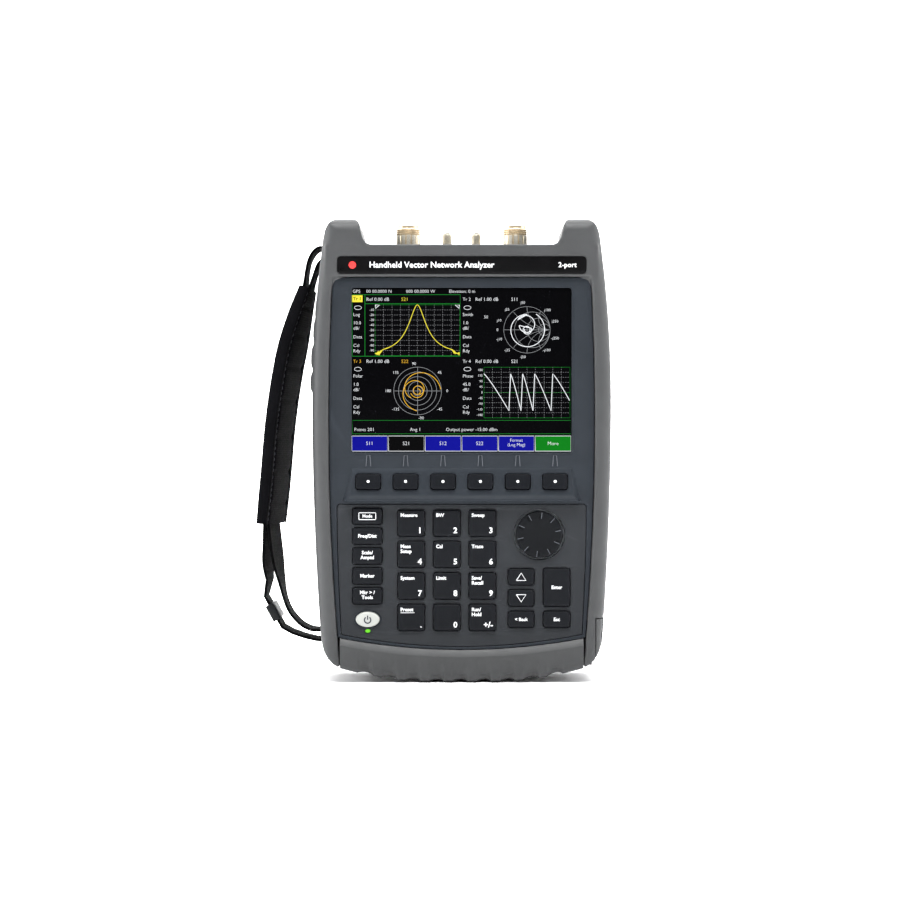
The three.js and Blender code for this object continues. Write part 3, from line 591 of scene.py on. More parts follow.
def protective_frame():
    """The side bumpers, the horns and the brow over the display, moulded as one rubber frame."""
    sides = [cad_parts[node].data for node in ("left_bumper", "right_bumper")]
    brow = block_mesh((-86, FRONT + 0.2, BROW_BOTTOM), (86, BEZEL_FACE + 3.5, CORE_TOP + 0.1))
    corners = [block_mesh((x, BEZEL_FACE + 0.25, 250.2), (x + 10, BEZEL_FACE + 3.5, 256)) for x in (-86, 76)]
    mesh = softened(joined(sides + [brow] + corners), 1.15, 6)
    for vertex in mesh.vertices:
        x, y, z = vertex.co / MM
        if x < -88 and abs(y) < 30:
            vertex.co.x -= grip_height(z, y) * MM
    door_line = [(83.8, 5), (84.4, 5), (84.4, 40.0), (97, 40.0), (97, 40.6), (83.8, 40.6)]
    mesh = cut(mesh, [plate_mesh([title_outline(0.35)], FRONT - 1, FRONT + 0.9, 0.1),
                      plate_mesh([door_line], FRONT - 1, FRONT + 6, 0.05)])
    add_object("protective_frame", shade(mesh, 60), RUBBER, HOUSING,
               ["left_bumper", "right_bumper"])


def title_outline(clearance):
    low, high = node_box("title_strip")
    return rounded_rectangle((low.x + high.x) / 2, (low.z + high.z) / 2,
                             high.x - low.x + 2 * clearance, high.z - low.z + 2 * clearance, 2.4)


def groove_depth(x, share):
    """How deep the boot's finger grooves are at x: nine of them, each with one sharper side."""
    spacing = 14.85
    nearest = round(x / spacing)
    if abs(nearest) > 4:
        return 0.0
    offset = (x - nearest * spacing) / 5.2
    skewed = offset * (1.3 if offset > 0 else 0.85)
    return 2.7 * share * max(0.0, 1 - skewed * skewed) ** 0.9


def boot_ring(x):
    """The cross-section of the boot at one x: its front, its rounded foot, its back, and its top."""
    top = boot_top(x) - 0.1
    floor = underside(x)
    edge = 5.5
    slope = ((2.8, 0), (2.7, 0.1), (0.05, 4.1), (0, 4.3))
    ring = [(x, FRONT + back, top - drop) for back, drop in slope]
    for z in spread(top - 4.6, floor + edge, 7):
        fade = max(0.0, 1 - (z - floor) / 15)
        ring.append((x, FRONT + groove_depth(x, fade), z))
    for step in range(1, 9):
        angle = math.radians(180 + 90 * step / 8)
        reach = edge - groove_depth(x, 0.9 - 0.3 * step / 8)
        ring.append((x, FRONT + edge + reach * math.cos(angle), floor + edge + reach * math.sin(angle)))
    for y in spread(FRONT + edge + 2, -16, 4):
        fade = (-16 - y) / (-16 - (FRONT + edge))
        ring.append((x, y, floor + groove_depth(x, 0.6 * fade)))
    for step in range(8):
        angle = math.radians(270 + 90 * step / 7)
        ring.append((x, BACK - edge + edge * math.cos(angle), floor + edge + edge * math.sin(angle)))
    ring += [(x, BACK - 0.35, top - 3.0), (x, BACK - 1.1, top - 0.5), (x, BACK - 2.2, top)]
    return ring


def bottom_boot():
    """The bottom bumper, with a light band along its upper edge and grooves round its front foot."""
    half = seam_half_width(16) - 0.5
    rings = [boot_ring(x) for x in spread(-half, half, 240)]
    mesh = ring_mesh("boot", rings, angle=50)
    bay = block_mesh((-68.6, -26.3, 10.3), (90, 28.8, 45))
    mesh = cut(mesh, [bay])
    add_object("bottom_boot", shade(mesh, 24), RUBBER, HOUSING, ["bottom_bumper"])


# ---------------------------------------------------------------- bezel
SOFTKEYS = [f"softkey_{number}" for number in range(1, 7)]
PANEL_KEYS = {
    "mode_key": "Mode", "frequency_key": "Freq/Dist", "scale_key": "Scale/\nAmptd", "marker_key": "Marker",
    "tools_key": "Mkr > /\nTools", "enter_key": "Enter", "escape_key": "Esc",
}
NUMBER_KEYS = {
    "digit_1_key": ("1", "Measure"), "digit_2_key": ("2", "BW"), "digit_3_key": ("3", "Sweep"),
    "digit_4_key": ("4", "Meas\nSetup"), "digit_5_key": ("5", "Cal"), "digit_6_key": ("6", "Trace"),
    "digit_7_key": ("7", "System"), "digit_8_key": ("8", "Limit"), "digit_9_key": ("9", "Save/\nRecall"),
    "point_key": (".", "Preset"), "digit_0_key": ("0", ""), "sign_key": ("+/-", "Run/\nHold"),
}
ARROW_KEYS = ["up_key", "down_key", "back_key"]
FLAT_KEYS = list(PANEL_KEYS) + list(NUMBER_KEYS) + ARROW_KEYS


def key_outline(node, clearance):
    low, high = node_box(node)
    middle = (low + high) / 2
    size = high - low
    return rounded_rectangle(middle.x, middle.z, size.x + 2 * clearance, size.z + 2 * clearance,
                             KEY_CORNER + clearance)


def keypad_outline(inset):
    """The panel round the keys: straight top, sides that follow the bumpers, and a curved foot."""
    half = 75.8 - inset
    foot = [(x, 30 - 7.6 * (1 - (x / half) ** 2) + inset) for x in spread(-half, half, 20)]
    shoulder = 78.4 - inset
    right = [(half + (shoulder - half) * math.sin(math.pi / 2 * share), 30 + 79 * share + inset)
             for share in spread(0.06, 1, 10)]
    corner = circle(shoulder - 2, 110.2 - inset, 2, 0, 90, 4)
    left = [(-x, z) for x, z in reversed(right + corner)]
    return foot + right + corner + left


def display_outline(clearance):
    return rounded_rectangle(0, (SCREEN_TOP + SCREEN_BOTTOM) / 2, SCREEN_RIGHT - SCREEN_LEFT + 2 * clearance,
                             SCREEN_TOP - SCREEN_BOTTOM + 2 * clearance, 2.0 + clearance)


def bezel_face():
    """The slate plate between the bumpers, open at the display, the softkeys and the keypad."""
    outline = panel_outline(0.3, BROW_BOTTOM - 0.3, 0.15, 5.0)
    face = plate_mesh([outline, display_outline(0.2), keypad_outline(0.0)], BEZEL_FACE, BEZEL_FACE + 3.4, 0.5)
    face = shade(cut(face, softkey_openings(0.5)), 40)
    add_object("bezel_face", face, SLATE, HOUSING, ["front_bezel"])
    well = node_box("keypad_membrane")[0].y - 0.4
    backing = plate_mesh([panel_outline(3.0, BROW_BOTTOM - 3, 2.5, 5.0), display_outline(0.6),
                          *[key_outline(node, 0.6) for node in FLAT_KEYS], *round_holes(0.6)],
                         BEZEL_FACE + 3.5, well, 0.1)
    backing = shade(cut(backing, softkey_openings(0.6)), 40)
    add_object("bezel_backing", backing, DARK, HOUSING)


def round_holes(clearance):
    """The holes for the power key, its light and the knob."""
    outlines = []
    for node in ("power_key", "power_led", "tuning_knob"):
        low, high = node_box(node)
        middle = (low + high) / 2
        size = high - low
        gap = clearance + 0.4 if node == "tuning_knob" else clearance
        outlines.append(oval(middle.x, middle.z, size.x + 2 * gap, size.z + 2 * gap, 64))
    return outlines


def keypad_panel():
    """The keypad's own panel, set in the bezel with a fine groove round it."""
    holes = [key_outline(node, 0.45) for node in FLAT_KEYS] + round_holes(0.5)
    panel = plate_mesh([keypad_outline(0.35)] + holes, BEZEL_FACE + 0.1, BEZEL_FACE + 3.4, 0.35)
    add_object("keypad_panel", panel, PANEL, HOUSING)
    middle = node_middle("power_key")
    ring = plate_mesh([oval(middle.x, middle.z, 17.4, 11.9, 64), oval(middle.x, middle.z, 15.9, 10.5, 64)],
                      BEZEL_FACE - 0.5, BEZEL_FACE + 0.6, 0.22)
    add_object("power_key_ring", ring, SLATE, HOUSING)


def softkey_outline(clearance):
    return rounded_rectangle(0, 0, SOFTKEY_WIDTH + 2 * clearance, SOFTKEY_HEIGHT + 2 * clearance,
                             KEY_CORNER + clearance)


def softkey_openings(clearance):
    """Cutters for the softkey holes, tipped like the keys so the gap stays even as a key goes in."""
    cutters = []
    for node in SOFTKEYS:
        cutter = plate_mesh([softkey_outline(clearance)], -9, 9, 0.05)
        cutter.transform(placed(*node_middle(node), Matrix.Rotation(-LEDGE_TILT, 4, "X")))
        cutters.append(cutter)
    return cutters


def softkey_ledge():
    """The wedge that tips the softkeys up: flush at its top, flared to a lip along its lower edge."""
    heights = [(LEDGE_TOP, 0.0, 69.2, 0.0), (LEDGE_TOP - 1.2, 0.42, 69.5, 1.0)]
    for share in spread(0, 1, 8):
        z = LEDGE_CREST + (LEDGE_BOTTOM + 0.7 - LEDGE_CREST) * share
        flare = 0.3 * share + 0.7 * share ** 3
        depth = LEDGE_RISE + (LEDGE_LIP - LEDGE_RISE) * flare
        heights.append((z, depth, 73.3 + 1.2 * share, 3.4 - 1.2 * share))
    heights.append((LEDGE_BOTTOM + 0.35, LEDGE_LIP - 0.1, 74.5, 2.3))
    heights.append((LEDGE_BOTTOM + 0.1, LEDGE_LIP - 0.5, 74.5, 2.2))
    heights.append((LEDGE_BOTTOM + 0.05, 0.1, 74.5, 0.2))
    rings = []
    for z, depth, half, slope in heights:
        front = [(x, BEZEL_FACE - depth, z) for x in (slope - half, half - slope)]
        edge = [(-half, BEZEL_FACE + 0.05, z), (half, BEZEL_FACE + 0.05, z)]
        back = [(half, BEZEL_FACE + 1.5, z), (-half, BEZEL_FACE + 1.5, z)]
        rings.append([edge[0], *front, edge[1], *back])
    mesh = ring_mesh("ledge", rings)
    mesh = cut(mesh, softkey_openings(0.5))
    mesh = modified(mesh, "BEVEL", width=0.35 * MM, segments=3, limit_method="ANGLE",
                    angle_limit=math.radians(28), use_clamp_overlap=True)
    add_object("softkey_ledge", shade(mesh, 40), SLATE, HOUSING)


def bezel_ticks():
    """The moulded ridges that lead from the screen's labels down to the softkeys."""
    lines = []
    for node in SOFTKEYS:
        x = node_middle(node).x
        lines.append([(x - 1.5, 135.8), (x - 0.95, 142.6), (x + 0.95, 142.6), (x + 1.5, 135.8)])
    ridges = stroke_mesh(lines, 0.5, BEZEL_FACE + 0.05, 0.5)
    # The ticks use the lighter ridge plastic, a painted highlight for the light they catch.
    add_object("softkey_ticks", ridges, RIDGE_PAINTED_HIGHLIGHT, HOUSING)


def display_rim():
    """The thin raised lip round the display window."""
    outlines = [display_outline(0.9), display_outline(-0.15)]
    rim = plate_mesh(outlines, BEZEL_FACE - 0.25, BEZEL_FACE + 0.9, 0.25)
    add_object("display_rim", rim, SLATE, HOUSING)


# ---------------------------------------------------------------- keys
def key_cap(node):
    """One flat key: a cap with rounded edges."""
    low, high = node_box(node)
    cap = plate_mesh([key_outline(node, 0)], low.y, high.y, 0.55)
    add_object(node + "_cap", cap, KEY, node, [node])


def legend(node, mesh, ink=INK):
    add_object(node + "_legend", mesh, ink, node)


def flat_keys():
    for node in FLAT_KEYS:
        key_cap(node)
    for node, words in PANEL_KEYS.items():
        low, high = node_box(node)
        middle = (low + high) / 2
        size = 2.7 if node == "mode_key" else 3.05
        drop = 0.55 * words.count("\n")
        legend(node, text_mesh([(words, middle.x, middle.z + drop, size, "CENTER")], low.y, weight=0.022))
    low, high = node_box("mode_key")
    middle = (low + high) / 2
    box = closed(rounded_rectangle(middle.x, middle.z, 10.6, 4.3, 0.3, 1))
    add_object("mode_key_box", stroke_mesh([box], 0.4, low.y), INK, "mode_key")
    for node, (digit, words) in NUMBER_KEYS.items():
        low, high = node_box(node)
        items = [(digit, high.x - 1.7, low.z + 3.5, 5.0, "RIGHT")]
        if words:
            items.append((words, low.x + 1.5, high.z - 3.2 - 1.5 * words.count("\n"), 3.1, "LEFT"))
        legend(node, text_mesh(items, low.y, weight=0.024))
    low, high = node_box("point_key")
    underline = stroke_mesh([[(low.x + 1.5, high.z - 5.1), (low.x + 10.4, high.z - 5.1)]], 0.3, low.y)
    add_object("point_key_underline", underline, INK, "point_key")


def arrow_legends():
    """Outlined triangles on the up and down keys, and a pointed mark before the word on back."""
    for node, way in (("up_key", 1), ("down_key", -1)):
        low, high = node_box(node)
        middle = (low + high) / 2
        outline = [(middle.x - 3.0, middle.z - way * 2.2), (middle.x, middle.z + way * 2.4),
                   (middle.x + 3.0, middle.z - way * 2.2)]
        legend(node, stroke_mesh([closed(outline)], 0.45, low.y))
    low, high = node_box("back_key")
    middle = (low + high) / 2
    legend("back_key", text_mesh([("< Back", middle.x, middle.z, 2.9, "CENTER")], low.y, weight=0.022))


def softkeys():
    turn = Matrix.Rotation(-LEDGE_TILT, 4, "X")
    for node in SOFTKEYS:
        middle = node_middle(node)
        half_depth = KEY_DEPTH / 2
        cap = plate_mesh([softkey_outline(0.0)], -half_depth, half_depth, 0.55)
        cap.transform(placed(*middle, turn))
        add_object(node + "_cap", cap, KEY, node, [node])
        dot = plate_mesh([oval(0, 0, 1.8, 1.8, 24)], -half_depth - 0.07, -half_depth + 0.1, 0.03)
        dot.transform(placed(*middle, turn))
        add_object(node + "_dot", dot, INK, node)


def power_key():
    low, high = node_box("power_key")
    middle = (low + high) / 2
    size = high - low
    rings = []
    crown = ((1.0, KEY_DEPTH), (1.0, 0.9), (0.985, 0.5), (0.94, 0.22), (0.8, 0.1), (0.5, 0.02), (0.1, 0.0))
    for share, depth in crown:
        outline = oval(middle.x, middle.z, size.x * share, size.z * share, 64)
        rings.append([(x, low.y + depth, z) for x, z in outline])
    add_object("power_key_cap", ring_mesh("power", rings), WHITE_KEY, "power_key",
               ["power_key"])
    symbol = [circle(middle.x, middle.z - 0.3, 2.0, -235, 55, 30),
              [(middle.x, middle.z + 2.5), (middle.x, middle.z - 0.1)]]
    legend("power_key", stroke_mesh(symbol, 0.8, low.y + 0.06, 0.14), DARK_INK)
    low, high = node_box("power_led")
    middle = (low + high) / 2
    lens = plate_mesh([oval(middle.x, middle.z, 3.1, 1.9, 32)], low.y, high.y, 0.35)
    add_object("power_light", lens, LIT_GREEN, HOUSING, ["power_led"])


def knob_face_height(radius, angle, outer):
    """The knob's face: a soft rim, a shallow dish, and a hollow beside each finger mark."""
    rim = -0.9 * max(0.0, (radius - outer + 1.0)) ** 2
    dish = -0.25 * max(0.0, 1 - (radius / (outer - 4.4)) ** 2)
    step = 2 * math.pi / KNOB_MARKS
    off = (angle - KNOB_MARK_START + step / 2) % step - step / 2
    beside = (off * radius - 0.8) / 0.7
    along = math.exp(-((radius - 12.2) / 1.8) ** 4)
    return rim + dish - along * 0.5 * math.exp(-beside * beside)


def knob_marks(middle, face, outer):
    """Raised ridges at the rim of the knob's face."""
    lines = []
    for step in range(KNOB_MARKS):
        angle = KNOB_MARK_START + 2 * math.pi * step / KNOB_MARKS
        lines.append([(middle.x + radius * math.cos(angle), middle.z + radius * math.sin(angle))
                      for radius in spread(10.2, outer - 0.7, 4)])
    ridges = stroke_mesh(lines, 0.42, face + 0.75, 0.6)
    # The marks use the lighter ridge plastic, a painted highlight for the light they catch.
    add_object("tuning_knob_marks", ridges, RIDGE_PAINTED_HIGHLIGHT, "tuning_knob")


def knob():
    low, high = node_box("tuning_knob")
    middle = (low + high) / 2
    outer = (high.x - low.x) / 2 - 0.4
    steps = 360
    knob_marks(middle, low.y, outer)
    rings = []
    for radius, y in ((3.0, high.y), (3.0, -30.3), (outer, -30.3)):
        rings.append([(middle.x + radius * math.cos(2 * math.pi * i / steps), y,
                       middle.z + radius * math.sin(2 * math.pi * i / steps)) for i in range(steps)])
    for radius in [outer - 0.02, outer - 0.3] + spread(outer - 0.6, 9.6, 16) + spread(9, 0.4, 6):
        ring = []
        for i in range(steps):
            angle = 2 * math.pi * i / steps
            y = low.y + 0.5 - knob_face_height(radius, angle, outer)
            ring.append((middle.x + radius * math.cos(angle), y, middle.z + radius * math.sin(angle)))
        rings.append(ring)
    add_object("tuning_knob_cap", ring_mesh("knob", rings, angle=40), KNOB, "tuning_knob",
               ["tuning_knob"])


# ---------------------------------------------------------------- connectors and top panel
def laid(mesh):
    """A standing plate turned to lie flat, its front face up: drawn Z becomes Y."""
    mesh.transform(Matrix.Rotation(math.radians(-90), 4, "X"))
    return mesh


def thread_profile(radius, start, end, pitch, depth):
    """The outside of a screw thread as a row of rounded ridges."""
    profile = []
    for turn in range(int((end - start) / pitch)):
        base = start + turn * pitch
        profile += [(radius - depth, base), (radius, base + pitch * 0.35),
                    (radius, base + pitch * 0.55), (radius - depth, base + pitch * 0.9)]
    return profile


def screw_head(x, y, z, turn, radius=2.6):
    """A pan-head screw with a six-lobed socket, its head facing +Z before it is turned."""
    profile = [(0.05, -1.0), (radius, -1.0), (radius, 0.5), (radius * 0.86, 1.0), (radius * 0.55, 1.2),
               (0.05, 1.2)]
    head = turned("screw", profile, Matrix.Identity(4), 32)
    lobes = []
    for angle in [2 * math.pi * i / 48 for i in range(48)]:
        reach = (0.62 + 0.13 * math.cos(6 * angle)) * radius * 0.78
        lobes.append((reach * math.cos(angle), reach * math.sin(angle)))
    rings = [[(x1, y1, height) for x1, y1 in lobes] for height in (0.3, 3.0)]
    mesh = cut(head, [ring_mesh("socket", rings)])
    mesh.transform(placed(x, y, z, turn))
    return shade(mesh, 30)


def top_panel():
    low, high = node_box("top_panel")
    ports = [node_box(node) for node in ("port_1_connector", "port_2_connector")]
    small = [node_box(node) for node in ("gps_antenna_connector", "reference_connector")]
    holes = [oval((a.x + b.x) / 2, 0, 11.4, 11.4) for a, b in ports]
    holes += [oval((a.x + b.x) / 2, 0, 6.4, 6.4) for a, b in small]
    outline = rounded_rectangle(0, (low.y + high.y) / 2, high.x - low.x, high.y - low.y, 2.0)
    add_object("top_panel_plate", laid(plate_mesh([outline] + holes, -high.z, -low.z, 0.3)), STEEL_PANEL,
               HOUSING, ["top_panel"])
    screws = [screw_head(x, y, high.z + 0.2, None, 2.1) for x in (-52, 52) for y in (-20, 20)]
    add_object("top_panel_screws", joined(screws), STEEL, HOUSING)
    words = [("PORT 1", -34.3, -16.5, 3.2, "CENTER"), ("PORT 2", 34.3, -16.5, 3.2, "CENTER"),
             ("GPS ANT", -10.5, -12.0, 2.2, "CENTER"), ("REF", 9.8, -12.0, 2.2, "CENTER")]
    add_object("top_panel_words", laid(text_mesh(words, -high.z, 0.06)), INK, HOUSING)
    rim = [rounded_rectangle(0, 1.0, 164.0, 61.4, 6.0), rounded_rectangle(0, 0, 116.4, 52.4, 2.2)]
    add_object("top_recess_walls", laid(plate_mesh(rim, -(CORE_TOP - 0.3), -262.5, 1.2)), RUBBER_DARK,
               HOUSING)


def fluted_sleeve(radius, groove, start, end, flutes):
    """A ring with upright grooves round its outside."""
    rings = []
    for z, inset in ((start, 0.4), (start + 0.4, 0), (end - 0.4, 0), (end, 0.4)):
        ring = []
        for step in range(flutes * 12):
            angle = 2 * math.pi * step / (flutes * 12)
            reach = radius - inset - (groove if step % 12 < 3 else 0)
            ring.append((reach * math.cos(angle), reach * math.sin(angle), z))
        rings.append(ring)
    return ring_mesh("sleeve", rings, angle=30)


def port_connector(node):
    """A type N jack: round flange, fluted sleeve, threaded band, dielectric and gold contact."""
    top = node_box(node)[1].z
    base = CONNECTOR_BASE
    place = placed(node_middle(node).x, 0, 0)
    barrel = [(5.0, 260.2), (5.0, base), (9.3, base), (9.3, base + 2.6), (8.9, base + 3.1), (7.0, base + 3.2),
              (7.0, base + 6.0)]
    barrel += thread_profile(7.9, top - 6.0, top - 1.9, 1.3, 0.5)
    barrel += [(7.3, top - 1.8), (7.3, top - 0.3), (7.0, top), (6.35, top), (6.1, top - 0.4), (6.1, 281.2)]
    barrel += [(4.3, 281.1), (4.3, 286.6), (4.0, 287.0), (3.6, 286.6), (3.6, 275.0), (0.05, 275.0)]
    add_object(node + "_barrel", turned("barrel", barrel, place, 72, 40), BRASS, HOUSING,
               [node])
    sleeve = fluted_sleeve(7.9, 0.8, base + 3.4, top - 6.2, 14)
    sleeve.transform(place)
    add_object(node + "_sleeve", sleeve, NICKEL, HOUSING)
    contact = [(0.05, 274.8), (1.5, 274.8), (1.5, 285.6), (1.25, 286.2), (0.75, 286.2), (0.75, 283.5),
               (0.05, 283.5)]
    add_object(node + "_contact", turned("contact", contact, place, 24), GOLD, HOUSING)


def antenna_connector(node):
    """An SMA jack: hexagonal nut, fine thread, white dielectric and a small gold contact."""
    top = node_box(node)[1].z
    base = CONNECTOR_BASE
    place = placed(node_middle(node).x, 0, 0)
    nut = [circle(0, 0, radius, 0, 300, 5) for radius in (4.35, 4.6, 4.6, 4.35)]
    levels = (base, base + 0.3, base + 2.0, base + 2.3)
    nut_mesh = ring_mesh("nut", [[(px, py, z) for px, py in ring] for ring, z in zip(nut, levels)])
    nut_mesh.transform(place)
    barrel = [(2.55, 262.2), (2.55, base + 2.4)] + thread_profile(3.17, base + 2.6, top - 0.8, 0.75, 0.32)
    barrel += [(2.9, top - 0.5), (2.75, top), (2.3, top), (2.3, 282.2), (0.05, 282.2)]
    mesh = joined([nut_mesh, turned("barrel", barrel, place, 48, 40)])
    add_object(node + "_body", mesh, NICKEL, HOUSING, [node])
    fill = [(0.05, 281), (2.2, 281), (2.2, 284.4), (0.75, 284.4), (0.7, 283.8), (0.05, 283.8)]
    add_object(node + "_insulator", turned("fill", fill, place, 32), WHITE_KEY, HOUSING)
    contact = turned("contact", [(0.05, 283.5), (0.55, 283.5), (0.55, 285.0), (0.05, 285.2)], place, 20)
    add_object(node + "_contact", contact, GOLD, HOUSING)


# ---------------------------------------------------------------- title strip and display
def title_strip():
    low, high = node_box("title_strip")
    plate = plate_mesh([title_outline(0)], low.y, high.y, 0.12)
    add_object("title_plate", plate, STRIP, HOUSING, ["title_strip"])
    middle = (low.z + high.z) / 2
    words = [("Handheld Vector Network Analyzer", -58.0, middle, 5.3, "LEFT"),
             ("2-port", 72.0, middle, 4.4, "RIGHT")]
    add_object("title_words", text_mesh(words, low.y, 0.05, 0.012), INK, HOUSING)
    dot = plate_mesh([oval(-68.5, middle, 4.6, 4.6, 40)], low.y - 0.05, low.y + 0.1, 0.02)
    add_object("title_mark", dot, RED_INK, HOUSING)


def display_window():
    low, high = node_box("display_window")
    middle = (low + high) / 2
    size = high - low
    outline = rounded_rectangle(middle.x, middle.z, size.x, size.z, 2.0)
    add_object("display_pane", plate_mesh([outline], low.y, high.y, 0.15), GLASS, HOUSING,
               ["display_window"])


def on_screen(name, mesh, material):
    add_object("screen_" + name, mesh, material, HOUSING)


def screen_words(name, items, material):
    on_screen(name, text_mesh(items, SCREEN_FACE, 0.04, -0.012), material)


def screen_strokes(name, lines, width, material, height=0.04):
    on_screen(name, stroke_mesh(lines, width, SCREEN_FACE, height), material)


def screen_fill(name, boxes, material, height=0.03):
    """Filled rectangles on the screen, each (left, right, bottom, top)."""
    meshes = [block_mesh((left, SCREEN_FACE - height, bottom), (right, SCREEN_FACE, top))
              for left, right, bottom, top in boxes]
    on_screen(name, joined(meshes), material)


def words_along(z, size, *words):
    """Words on one line of the screen, each given with the place where it starts."""
    return [(word, x, z, size, "LEFT") for word, x in words]


def box_line(left, right, bottom, top):
    return [(left, bottom), (right, bottom), (right, top), (left, top), (left, bottom)]


def dashes(start, end, dash, gap):
    """Short strokes from one point to another."""
    length = math.dist(start, end)
    way = (Vector(end) - Vector(start)) / length
    lines = []
    place = 0.0
    while place < length:
        stop = min(place + dash, length)
        lines.append([tuple(Vector(start) + way * reach) for reach in (place, stop)])
        place += dash + gap
    return lines


def grid_lines(left, right, bottom, top):
    """The dashed lines that divide a chart into ten by ten fields."""
    lines = []
    for step in range(1, 10):
        x = left + (right - left) * step / 10
        z = bottom + (top - bottom) * step / 10
        lines += dashes((x, bottom), (x, top), 0.8, 0.7)
        lines += dashes((left, z), (right, z), 0.8, 0.7)
    return lines


def band_pass(share):
    """The level of a band-pass filter's transmission, from 0 at the foot of its grid to 1 at the top."""
    off = abs(share - 0.5)
    level = 1 / (1 + (off / 0.135) ** 1.8)
    noisy = smoothstep(off, 0.4, 0.45)
    rough = math.sin(share * 910) * math.sin(share * 387) * 0.05
    return level - 0.05 * noisy + rough * (0.2 + 0.8 * noisy) * smoothstep(off, 0.2, 0.4)


def column_words(x, z, form, step):
    """The column of settings beside each chart."""
    rows = ((form, 5.2), (step, 10.4), ("dB/", 13.8), ("Data", 19.2), ("Cal", 24.6), ("Rdy", 28.0))
    return [(word, x, z - drop, 2.9, "LEFT") for word, drop in rows]


def transmission_chart():
    """The first trace: transmission against frequency, over a ten by ten grid."""
    left, right, bottom, top = CHART_1
    screen_strokes("grid_1", grid_lines(left, right, bottom, top), 0.14, SCREEN_GREY)
    screen_strokes("grid_1_edge", [box_line(left, right, bottom, top)], 0.2, SCREEN_GREEN)
    trace = [(left + (right - left) * share, bottom + (top - bottom) * band_pass(share))
             for share in spread(0, 1, 300)]
    screen_strokes("trace_1", [trace], 0.42, SCREEN_YELLOW, 0.06)
    marks = [[(x, top - 0.1), (x + way * 2.6, top - 0.1), (x, top - 2.2), (x, top - 0.1)]
             for x, way in ((left + 0.2, 1), (right - 0.2, -1))]
    screen_strokes("grid_1_marks", marks, 0.5, SCREEN_WHITE)
    labels = [(str(-10 * step), -55.0, top - (top - bottom) * step / 10, 2.2, "RIGHT")
              for step in range(1, 10)]
    screen_words("scale_1", labels, SCREEN_WHITE)
    screen_fill("tag_1", [(-69, -62.3, 238.9, 243.2)], SCREEN_YELLOW)
    tag = text_mesh([("Tr 1", -65.6, 241.0, 2.9, "CENTER")], SCREEN_FACE - 0.03, 0.04, 0.01)
    on_screen("tag_1_word", tag, SCREEN_BLACK)
    frame_lines = [box_line(-68.8, -0.9, 204.9, 243.6), [(-60.8, 204.9), (-60.8, 243.6)]]
    frame_lines.append([(-60.8, 237.9), (-0.9, 237.9)])
    screen_strokes("frame_1", frame_lines, 0.34, SCREEN_GREEN)
    words = words_along(240.6, 3.1, ("Ref 0.00 dB", -60.0)) + column_words(-68.2, 236.2, "Log", "10.0")
    screen_words("words_1", words, SCREEN_WHITE)
    screen_words("name_1", words_along(240.6, 3.1, ("S21", -38.0)), SCREEN_YELLOW)


def smith_chart(name, x, z, radius, numbers):
    """Circles of constant resistance and arcs of constant reactance inside a circle."""
    lines = [circle(x, z, radius), [(x - radius, z), (x + radius, z)]]
    for resistance in (0.3, 1.0, 3.0):
        small = radius / (1 + resistance)
        lines.append(circle(x + radius - small, z, small))
    for reactance in (0.5, 1.0, 2.0):
        for way in (1, -1):
            bend = radius / reactance
            arc = [point for point in circle(x + radius, z + way * bend, bend, 0, 360, 180)
                   if math.dist(point, (x, z)) <= radius and way * (point[1] - z) >= -0.01]
            arc.sort(key=lambda point: math.dist(point, (x + radius, z)))
            lines.append(arc)
    screen_strokes(name, lines, 0.2, SCREEN_GREY)
    words = []
    for label, angle in numbers:
        reach = radius + 2.6
        words.append((label, x + reach * 1.08 * math.cos(math.radians(angle)),
                      z + reach * math.sin(math.radians(angle)), 2.4, "CENTER"))
    screen_words(name + "_numbers", words, SCREEN_WHITE)


def spiral(x, z, start_radius, end_radius, turns, start, shrink=1.0):
    """A curve that winds round a middle from one radius to another, from a start angle in degrees."""
    points = []
    for share in spread(0, 1, 220):
        radius = start_radius + (end_radius - start_radius) * share ** shrink
        angle = math.radians(start + 360 * turns * share)
        points.append((x + radius * math.cos(angle), z + radius * math.sin(angle)))
    return points


def smith_trace(x, z, radius):
    """A reflection that circles the chart and closes in on a small loop near its centre."""
    outer = spiral(x, z, radius * 0.78, radius * 0.66, -0.92, 60)
    loop = spiral(x - 0.5, z + radius * 0.22, radius * 0.42, radius * 0.3, -0.9, 150)
    inner = spiral(x, z, radius * 0.2, radius * 0.1, -1.6, 20)
    return [outer, outer[-1:] + loop, loop[-1:] + inner]


def reflection_chart():
    """The second trace, on a Smith chart."""
    numbers = [("j50", 98), ("j100", 46), ("j250", 18), ("0", 180), ("j10", 160), ("j25", 132), ("-j10", 200),
               ("-j25", 228), ("-j50", 262), ("-j100", 312), ("-j250", 342)]
    smith_chart("smith", *SMITH_CHART, numbers)
    screen_strokes("trace_2", smith_trace(*SMITH_CHART), 0.45, SCREEN_WHITE, 0.06)
    words = words_along(240.6, 3.1, ("Ref 1.00 dB", 8.5), ("S11", 31.0))
    words += words_along(229.5, 2.6, ("50", 14.0)) + words_along(240.6, 2.9, ("Tr 2", 0.6))
    screen_words("words_2", words + column_words(0.6, 236.2, "Smith", "1.0"), SCREEN_WHITE)


